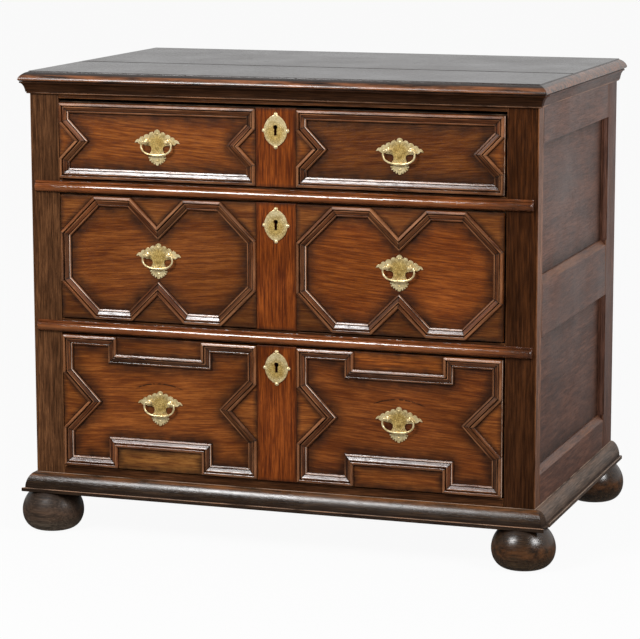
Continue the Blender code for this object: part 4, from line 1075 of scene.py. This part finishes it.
# %% [markdown]
# The fields come first. Polish and dust have darkened them along the frames and round the handles, and that
# darkening is also a painted shade, so the dirt at each point of a field follows its distance from the frame. On
# the bottom drawer each point also stores where it lies from the middle of an older handle's swing.

# %% Plant the fields, muntins and spandrels
HANDLE_X = (FIELD_END + MUNTIN_HALF) / 2
BAIL_RADIUS, HALO_DROP = 0.0016, 0.008
FIELD_THICK, FIELD_STEP, SLANT, SHAVING = 0.0018, 0.0045, 0.07, 0.0002
WIDE_RIM, NARROW_RIM, MUNTIN_RIM, CUTTER_REACH = 0.015, 0.009, 0.006, 0.01
KEYHOLE_UP, KEYHOLE_HALF, KEYHOLE_RADIUS, KEYHOLE_TALL, KEYHOLE_OPEN = 0.006, 0.0026, 0.0042, 0.0185, 0.69
FIELD_SHADE = {("top", "left"): (0.04, 0.0, -0.05), ("top", "right"): (-0.30, -0.28, -0.25),
               ("middle", "left"): (-0.16, -0.18, -0.20), ("middle", "right"): (0.06, -0.08, -0.25),
               ("bottom", "left"): (0.04, 0.0, -0.05), ("bottom", "right"): (-0.12, -0.20, -0.25)}
BLOCK_SHADE = {("left", 2): (0.15, 0.55, 0.90), ("right", 3): (0.40, 0.30, 0.0)}
DARK_TRIANGLE, PALE_TRIANGLE = (-0.45, -0.40, -0.30), (-0.15, -0.08, 0.10)


def handle_height(drawer):
    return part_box(f"{drawer}_left_bail")[1].z - BAIL_RADIUS


def plate(name, outline, back, front, ease, rim=0.0):
    """A flat piece that faces the front. Its outline is given as (x, z) points."""
    piece = ring(name, [(x, back, z) for x, z in outline])
    extrude((0, front - back, 0))
    ease_edges(ease, clamp_overlap=True)
    turn_out()
    if rim:
        choose(piece, "FACE", lambda face: face.normal.y < -FLAT)
        bpy.ops.mesh.inset(thickness=rim, depth=0)
        leave()
    return smooth(piece)


def rim_dirt_and_shade(piece, outline, reach, amount):
    """Store soiling that fades inwards from the outline of a flat piece, also a painted shade along that edge."""
    line = [Vector(point) for point in outline]
    return store(piece, grime=lambda point: amount * fade(distance_to(line, point.xz), reach))


def field_dirt_and_shade(outline, handle):
    """The rule for the soiling on a field, also a painted shade: along its frame and round its handle."""
    line = [Vector(point) for point in outline]

    def rule(point):
        beside = distance_to(line, point.xz) - FRAME_WIDTH
        return min(0.85 * fade(max(beside, 0), 0.027) + 0.62 * fade((point.xz - handle).length, 0.048), 1)
    return rule


def rub_and_shade_end(piece, end):
    """Rub the polish off the front edge of whatever lies at the right-hand end of a drawer, and paint the end
    darker behind that edge, a painted shade in the gap beside the stile.
    """
    stored = piece.data.attributes
    if "worn" not in stored:
        stored.new("worn", "FLOAT", "POINT")
    for vertex, rub_and_highlight, dirt_and_shade in zip(piece.data.vertices, stored["worn"].data, stored["grime"].data):
        if vertex.co.x > end - 0.0002:
            rub_and_highlight.value, dirt_and_shade.value = (2.0, 0.0) if vertex.co.y < FIELD - 0.003 else (0.0, 0.8)


def keyhole(drawer, front, back):
    """A round hole with a slot below it, as a cutter from front to back."""
    low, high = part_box(f"{drawer}_escutcheon")
    centre = (low.z + high.z) / 2 + KEYHOLE_UP
    outline = []
    for count in range(17):
        angle = KEYHOLE_OPEN - pi / 2 + (2 * pi - 2 * KEYHOLE_OPEN) * count / 16
        outline.append((KEYHOLE_RADIUS * cos(angle), centre + KEYHOLE_RADIUS * sin(angle)))
    foot = centre + KEYHOLE_RADIUS - KEYHOLE_TALL
    outline += [(-KEYHOLE_HALF, foot), (KEYHOLE_HALF, foot)]
    cutter = ring("keyhole", [(x, front, z) for x, z in outline])
    extrude((0, back - front, 0))
    turn_out()
    return cutter


def plant_field(drawer, side, ends, line):
    """One field, with its grain a little out of level."""
    low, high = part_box(f"{drawer}_drawer_front")
    sign, height = SIDES[side], handle_height(drawer)
    middle = Vector((sum(ends) / 2, FIELD, (low.z + high.z) / 2))
    field = thin_board(f"{drawer}_{side}_field", middle, ends[1] - ends[0], high.z - low.z - 2 * MARGIN,
                       FIELD_THICK, 0, FIELD_STEP,
                       field_dirt_and_shade(line, Vector((sign * HANDLE_X, height - HALO_DROP))))
    shade(field, FIELD_SHADE[drawer, side])
    if drawer == "bottom":
        swing = Vector((sign * HANDLE_X, 0, height + MARK_CENTRE))
        store(field, older=lambda point: (point.x - swing.x, point.z - swing.z, 0))
    slant = X + Z * SLANT * (sign if drawer == "top" else -sign)
    return lay_grain(field, slant, -Y)


def plant_spandrel(drawer, side, count, outline):
    """One raised corner piece, soiled along its edge, which is also a painted shade there."""
    shape = inset(outline if area(outline) > 0 else outline[::-1], SHAVING)
    rim = WIDE_RIM if drawer == "bottom" and count > 1 else NARROW_RIM
    piece = plate(f"{drawer}_{side}_spandrel_{count + 1}", shape, FIELD + FIELD_THICK / 2, RAISED,
                  ease=0.0005, rim=rim)
    rim_dirt_and_shade(piece, shape, rim - SHAVING, 0.9)
    if drawer == "bottom":
        shade(piece, BLOCK_SHADE.get((side, count), (0, 0, 0)))
    elif drawer == "middle":
        shade(piece, DARK_TRIANGLE if count in (0, 2, 4) else PALE_TRIANGLE)
    lay_grain(piece, X, -Y)
    reach = max(x for x, z in shape)
    if drawer != "middle" and reach > FIELD_END - 0.001:
        rub_and_shade_end(piece, reach)
    return piece


for drawer in DRAWERS:
    source, body = f"{drawer}_drawer_front", f"{drawer}_drawer"
    low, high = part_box(source)
    for side, sign in SIDES.items():
        ends = sorted((sign * MUNTIN_HALF, sign * FIELD_END))
        line, spandrels = LAYOUTS[drawer](*ends, low.z + MARGIN, high.z - MARGIN)
        dress(plant_field(drawer, side, ends, line), field_oak, body, source)
        for count, outline in enumerate(spandrels):
            dress(plant_spandrel(drawer, side, count, outline), field_oak, body, source)
    half = MUNTIN_HALF - SHAVING
    shape = [(-half, low.z), (half, low.z), (half, high.z), (-half, high.z)]
    muntin = plate(f"{drawer}_muntin", shape, FIELD + FIELD_THICK, RAISED, ease=0.0006, rim=MUNTIN_RIM)
    cut_out(muntin, keyhole(drawer, RAISED - CUTTER_REACH, FIELD + CUTTER_REACH))
    rim_dirt_and_shade(muntin, shape, MUNTIN_RIM - SHAVING, 0.75)
    dress(lay_grain(smooth(muntin), Z, -Y), muntin_oak, body, source)
print("six fields with their muntins and spandrels")

# %% [markdown]
# The frames are sawn length by length. At every corner the saw follows the line that halves the angle. Lengths
# that slant have lost their shine, and in the two upper drawers so have those along the top. So the lengths of
# one frame are then joined into two objects, a bright one and a dull one.

# %% Saw the frames
SPARE, RUBBED_AND_HIGHLIGHT_EDGE, PALER, REDDER = 0.03, (0.815, 0.865), 0.35, 0.12
lengths = 0
tones = random.Random("sticks of the frames")
section = [(a * FRAME_WIDTH, b * FRAME_RISE, rub_and_highlight, dirt_and_shade) for a, b, rub_and_highlight, dirt_and_shade in FRAME_SECTION]


def mitre(outer, inner, run, direction):
    """The cut at one end of a length, from the outer corner to the inner one."""
    slant = inner - outer
    away = Vector((slant.y, -slant.x)).normalized()
    away = away if away.dot(run) * direction > 0 else -away
    away = Vector((away.x, 0, away.y))
    return Vector((outer.x, FIELD, outer.y)) - away * NEAR, away


def rub_and_highlight_inner_edge(stick, corner, inward):
    """Rub the inner edge of a length, and paint it paler still where it faces up and to the right, a painted
    highlight.
    """
    # The extra paleness on edges that face up and to the right is a painted highlight.
    painted_highlight = 0.85 * max(0, 0.7 * inward.x + 0.7 * inward.y)
    for vertex, rub_and_highlight in zip(stick.data.vertices, stick.data.attributes["worn"].data):
        across = (vertex.co.xz - corner).dot(inward) / FRAME_WIDTH
        if RUBBED_AND_HIGHLIGHT_EDGE[0] < across < RUBBED_AND_HIGHLIGHT_EDGE[1]:
            rub_and_highlight.value = 1 + painted_highlight


for drawer in DRAWERS:
    low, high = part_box(f"{drawer}_drawer_front")
    for side, sign in SIDES.items():
        ends = sorted((sign * MUNTIN_HALF, sign * FIELD_END))
        line = LAYOUTS[drawer](*ends, low.z + MARGIN, high.z - MARGIN)[0]
        outer, inner = [Vector(point) for point in line], inset(line, FRAME_WIDTH)
        sticks = {"frame": [], "frame_dull": []}
        for index, corner in enumerate(outer):
            after = (index + 1) % len(outer)
            run = (outer[after] - corner).normalized()
            inward = Vector((-run.y, run.x))
            cuts = [mitre(outer[end], inner[end], run, direction)
                    for end, direction in ((index, -1), (after, 1))]
            first, last = corner - run * SPARE, outer[after] + run * SPARE
            stick = moulding("stick", section, (first.x, FIELD, first.y), (last.x, FIELD, last.y),
                             (inward.x, 0, inward.y), -Y, cuts, 0.9)
            paler, redder = tones.uniform(-PALER, PALER), tones.uniform(-REDDER, REDDER)
            shade(stick, (paler + redder, paler, paler - redder))
            rub_and_highlight_inner_edge(stick, corner, inward)
            if drawer != "middle" and min(corner.x, outer[after].x) > FIELD_END - NEAR:
                rub_and_shade_end(stick, corner.x)
            dull = abs(run.x * run.y) > 0.2 or (run.x < -0.9 and drawer != "bottom")
            sticks["frame_dull" if dull else "frame"].append(stick)
        lengths += len(outer)
        for kind, finish in (("frame", moulding_oak), ("frame_dull", dull_moulding_oak)):
            joined = gather(f"{drawer}_{side}_{kind}", sticks[kind])
            dress(joined, finish, f"{drawer}_drawer", f"{drawer}_drawer_front")
print(lengths, "lengths of moulding in six frames")

# %% [markdown]
# ## Drawer boxes
#
# Behind the show front is a plain oak box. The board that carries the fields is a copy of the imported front, sawn
# off just behind the fields, so its dovetail sockets and holes stay true. The sides keep their dovetails and
# the groove for the runner, and the bottom is made of boards laid from front to back.

# %% Make the drawer boxes
BOTTOM_BOARDS, BOTTOM_GAP, BOX_EASE, CORE_BEHIND = 5, 0.0004, 0.0010, 0.0019
for drawer in DRAWERS:
    body = f"{drawer}_drawer"
    source = f"{body}_front"
    core = packed_copy(source + "_oak", source)
    saw((0, FIELD + CORE_BEHIND, 0), -Y)
    select_whole()
    bpy.ops.mesh.dissolve_limited(angle_limit=radians(1))
    leave()
    # The board is painted darker towards its front, a painted shade where it shows in the gaps round the drawer.
    store(core, grime=lambda point: 1.3 * fade(point.y - FIELD, 0.018))
    dress(lay_grain(smooth(core), X, -Y), lining_oak, body, source)
    for side, sign in SIDES.items():
        source = f"{body}_{side}_side"
        piece = worked_copy(source + "_oak", source, BOX_EASE)
        dress(wear_edges(lay_grain(piece, Y, sign * X), 0.5), lining_oak, body, source)
    source = f"{body}_back"
    piece = board(source + "_oak", *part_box(source), BOX_EASE)
    dress(wear_edges(lay_grain(piece, X, Y), 0.5), lining_oak, body, source)
    source = f"{body}_bottom"
    low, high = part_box(source)
    width = (high.x - low.x) / BOTTOM_BOARDS
    for count in range(BOTTOM_BOARDS):
        left = low.x + count * width
        piece = board(f"{source}_{count + 1}", (left + BOTTOM_GAP, low.y, low.z),
                      (left + width - BOTTOM_GAP, high.y, high.z), ease=0.0006)
        dress(wear_edges(lay_grain(piece, Y, Z), 0.4), lining_oak, body, source)
print("three drawer boxes")

# %% [markdown]
# ## Brass and iron
#
# The handles are cast brass: an engraved plate with a pin in its top lobe and one low down, two posts, and a bail
# of bent wire that swings in them. Only half of the plate is drawn, and mirrored, because the real ones were
# filed over a folded pattern in the same way. The engraving is in the finish: small scales, the same on both
# halves, in a golden middle with a plain rim, on coordinates measured from the middle of each plate. The rim is
# left paler than the middle, a painted highlight along the edges of the lobes.

# %% Cast the handles
SHEET_LIFT, SHEET_MIDDLE, GOLDEN_TO_HIGHLIGHT_RIM = 0.5, (0, 0, 0.496), (0.011, 0.023)


def scales(tree, colour):
    """Engrave small scales in the middle of a plate and tint the middle gold, which leaves the rim paler as a
    painted highlight: the colour with them, and their height.
    """
    sheet = attribute(tree, "sheet", "Vector")
    folded = node(tree, "VectorMath", {0: sheet}, operation="ABSOLUTE")
    reach = node(tree, "VectorMath", {0: folded, 1: SHEET_MIDDLE}, operation="DISTANCE").outputs["Value"]
    scale = node(tree, "TexVoronoi", {"Vector": folded, "Scale": 250.0}, feature="DISTANCE_TO_EDGE")
    line = compute(tree, "MAXIMUM", between(tree, scale.outputs["Distance"], 0.02, 0.14, 0.38),
                   between(tree, reach, *GOLDEN_TO_HIGHLIGHT_RIM, 0.0, 0.85))
    cut = blend(tree, line, (0.20, 0.14, 0.05), colour)
    return blend(tree, between(tree, reach, *GOLDEN_TO_HIGHLIGHT_RIM, 1.0, 0.0), cut, (0.86, 0.73, 0.42), "MULTIPLY"), line


BRASS = {"tones": ((0.54, 0.40, 0.17), (1.0, 0.84, 0.49)), "stops": (0.34, 0.62), "speck": 160.0, "crumble": 0.6,
         "matt": (0.42, 0.22), "metallic": 0.50, "relief": (0.35, 0.0004)}
plain_brass, engraved_brass = metal("plain_brass", **BRASS), metal("engraved_brass", **BRASS, engraving=scales)


def lobe(across, up, radius, first, last):
    """Points of a round lobe of the plate, in millimetres from its middle, clockwise between two angles."""
    angles = [radians(first + (last - first) * count / 7) for count in range(8)]
    return [(across + radius * cos(angle), up + radius * sin(angle)) for angle in angles]


PLATE_EDGE = [
    *lobe(0, 15.8, 5.4, 90, -20), *lobe(10.4, 11.6, 5.2, 140, -15), *lobe(19.8, 7.4, 5.4, 142, -8),
    *lobe(28.6, 3.4, 5.0, 140, 15), (34.4, 3.2), (37.2, 3.4), (40.2, 1.6), (42.8, -2.8), (39.8, -2.2),
    (37.2, -1.4), (36.0, -3.4), (33.2, -5.4), (29.6, -5.6), (26.2, -5.2), (24.0, -6.8), (18.0, -7.0),
    (13.8, -7.8), (11.6, -9.6), (10.6, -12.6), (11.0, -15.8), (12.6, -19.0), (14.8, -21.8), (16.0, -24.0),
    (15.2, -25.6), (12.4, -26.0), (10.8, -26.8), (13.0, -27.6), (16.6, -27.6), (16.4, -30.0), (12.6, -30.4),
    (15.0, -33.0), (13.8, -34.8), (10.2, -33.2), (11.4, -36.6), (9.8, -38.0), (7.0, -35.6), (7.2, -39.6),
    (5.4, -40.6), (3.6, -37.4), (2.4, -41.8), (0, -42.6),
]
POST_APART, POST_REACH, PLATE_THICK = 0.040, 0.0103, 0.0016
POST = [(0.0020, 0.022), (0.0020, -0.0002), (0.0038, -0.0002), (0.0038, -0.0012), (0.0024, -0.0018),
        (0.0026, -0.0030), (0.0034, -0.0044), (0.0036, -0.0062), (0.0034, -0.0082), (0.0026, -0.0096),
        (0.0014, -POST_REACH), (0, -POST_REACH - 0.0002)]
PIN = [(0, -0.0014), (0.0008, -0.0013), (0.0016, -0.0007), (0.0019, 0), (0.0019, 0.0006), (0, 0.0006)]
PIN_HEIGHTS = (0.0145, -0.0335)
NUT = [(0, 0.0024), (0.0036, 0.0024), (0.0042, 0.0016), (0.0042, 0), (0, 0)]
BAIL_HALF, BAIL_DROP, BAIL_CLEAR, BAIL_PIN, BAIL_SWELL = 0.0289, 0.0235, 0.0242, 0.69, 0.15


def note_sheet(piece, x, z):
    """Store each point's place on its plate, with the height lifted so that only left and right are folded."""
    return store(piece, sheet=lambda point: (point.x - x, 0.3 * (point.y - FIELD), point.z - z + SHEET_LIFT))


def wire(name, path, radius):
    """Bend a wire along a path of (point, thickness) pairs."""
    chain(name, [point for point, thick in path])
    leave()
    bpy.ops.object.convert(target="CURVE")
    piece = bpy.context.object
    piece.data.dimensions = "3D"
    piece.data.bevel_depth, piece.data.bevel_resolution, piece.data.use_fill_caps = radius, 4, True
    for point, (_, thick) in zip(piece.data.splines[0].points, path):
        point.radius = thick
    bpy.ops.object.convert(target="MESH")
    piece = bpy.context.object
    piece.name = piece.data.name = name
    return smooth(piece, 50)


def bail_path(x, y, z):
    """Half of the bail runs from its pin out of the post, round the shoulder and down to the middle."""
    post, bend_x, bend_z = POST_APART / 2, (BAIL_HALF - BAIL_CLEAR) * 0.9, BAIL_DROP * 0.32
    right = [(post - 0.0022, 0, BAIL_PIN), (post + 0.0034, 0, BAIL_PIN), (BAIL_CLEAR, 0, 1)]
    for angle in quarter(6):
        right.append((BAIL_CLEAR + bend_x * sin(angle), -bend_z * (1 - cos(angle)), 1))
    shoulder = BAIL_CLEAR + bend_x
    for angle in quarter(16):
        right.append((shoulder * cos(angle) ** 0.75 + (BAIL_HALF - shoulder) * sin(2 * angle),
                      -bend_z - (BAIL_DROP - bend_z) * sin(angle), 1 + BAIL_SWELL * sin(angle) ** 4))
    right[-1] = (0, -BAIL_DROP, 1 + BAIL_SWELL)
    both = [(-across, up, thick) for across, up, thick in right[:-1]] + right[::-1]
    return [(Vector((x + across, y, z + up)), thick) for across, up, thick in both]


for drawer in DRAWERS:
    z, body, face = handle_height(drawer), f"{drawer}_drawer", FIELD - HAIRLINE - PLATE_THICK
    for side, sign in SIDES.items():
        x, name = sign * HANDLE_X, f"{drawer}_{side}"
        across = [x + end * POST_APART / 2 for end in (-1, 1)]
        edge = [(x + a / 1000, z + b / 1000) for a, b in PLATE_EDGE]
        edge += [(x - a / 1000, z + b / 1000) for a, b in PLATE_EDGE[-2:0:-1]]
        sheet = plate(f"{name}_plate_brass", edge[::-1], FIELD - HAIRLINE, face, ease=0.0008)
        fit(note_sheet(sheet, x, z), engraved_brass, body, f"{name}_plate")
        posts = [turned("post", (place, face, z), Y, POST, 20) for place in across]
        pins = [turned("pin", (x, face, z + height), Y, PIN, 16) for height in PIN_HEIGHTS]
        fit(gather(f"{name}_posts", posts + pins), plain_brass, body, f"{name}_plate")
        nuts = [turned("nut", (place, BEHIND, z), Y, NUT, 8) for place in across]
        fit(gather(f"{name}_nuts", nuts), iron, body)
        low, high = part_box(f"{name}_bail")
        loop = wire(f"{name}_bail_wire", bail_path(x, (low.y + high.y) / 2, z), BAIL_RADIUS)
        fit(loop, plain_brass, f"{name}_bail", f"{name}_bail")
print("six handles")

# %% [markdown]
# A pointed oval plate covers each keyhole, held by four round-headed pins at its points. Behind it an iron lock is
# let into the back of the drawer front.

# %% Pin on the key plates and fit the locks
HEAD = [(0, -0.0030), (0.0010, -0.0029), (0.0022, -0.0024), (0.0033, -0.0014), (0.0038, 0), (0.0038, 0.001),
        (0, 0.001)]
OVAL_HALF, OVAL_TALL, OVAL_THICK = 0.0215, 0.0285, 0.0018
LOCK_HALF, LOCK_LOW, LOCK_HIGH, LOCK_THICK = 0.048, 0.068, 0.003, 0.0025
LOCK_NAILS = [(x, up) for x in (-0.041, 0.041) for up in (-0.010, -0.061)]


def oval(centre):
    """A pointed oval of two arcs round a height."""
    radius = (OVAL_HALF * OVAL_HALF + OVAL_TALL * OVAL_TALL) / (2 * OVAL_HALF)
    edge = []
    for turn in (1, -1):
        for count in range(20):
            height = -OVAL_TALL + 2 * OVAL_TALL * count / 20
            edge.append((turn * (sqrt(radius ** 2 - height ** 2) - radius + OVAL_HALF), centre + turn * height))
    return edge


for drawer in DRAWERS:
    body, source, face = f"{drawer}_drawer", f"{drawer}_escutcheon", RAISED - HAIRLINE
    low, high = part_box(source)
    centre = (low.z + high.z) / 2
    sheet = plate(f"{drawer}_key_plate", oval(centre), face, face - OVAL_THICK, ease=0.0006)
    cut_out(sheet, keyhole(drawer, RAISED - CUTTER_REACH, RAISED + CUTTER_REACH))
    fit(note_sheet(smooth(sheet), 0, centre), engraved_brass, body, source)
    heads = [turned("head", (x, face, centre + up), Y, HEAD, 18)
             for x, up in ((OVAL_HALF, 0), (-OVAL_HALF, 0), (0, OVAL_TALL), (0, -OVAL_TALL))]
    fit(gather(f"{drawer}_key_plate_pins", heads), plain_brass, body, source)
    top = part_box(f"{body}_front")[1].z
    lock = board(f"{drawer}_lock_plate", (-LOCK_HALF, BEHIND, top - LOCK_LOW),
                 (LOCK_HALF, BEHIND + LOCK_THICK, top - LOCK_HIGH), ease=0.0008)
    nails = [turned("nail", (x, BEHIND + LOCK_THICK, top + up), Y, NAIL_HEAD, 10) for x, up in LOCK_NAILS]
    fit(gather(f"{drawer}_lock_case", [lock] + nails), iron, body)
    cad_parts[f"{drawer}_lock_bolt"].material_slots[0].material = iron
print("three key plates and locks")

# %% [markdown]
# ## Finish
#
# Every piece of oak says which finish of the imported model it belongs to. The two boxes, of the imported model
# and of the dressed one, are kept side by side.

# %% Close the lesson
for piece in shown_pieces():
    finish = piece.data.materials[0].name if piece.data.materials else ""
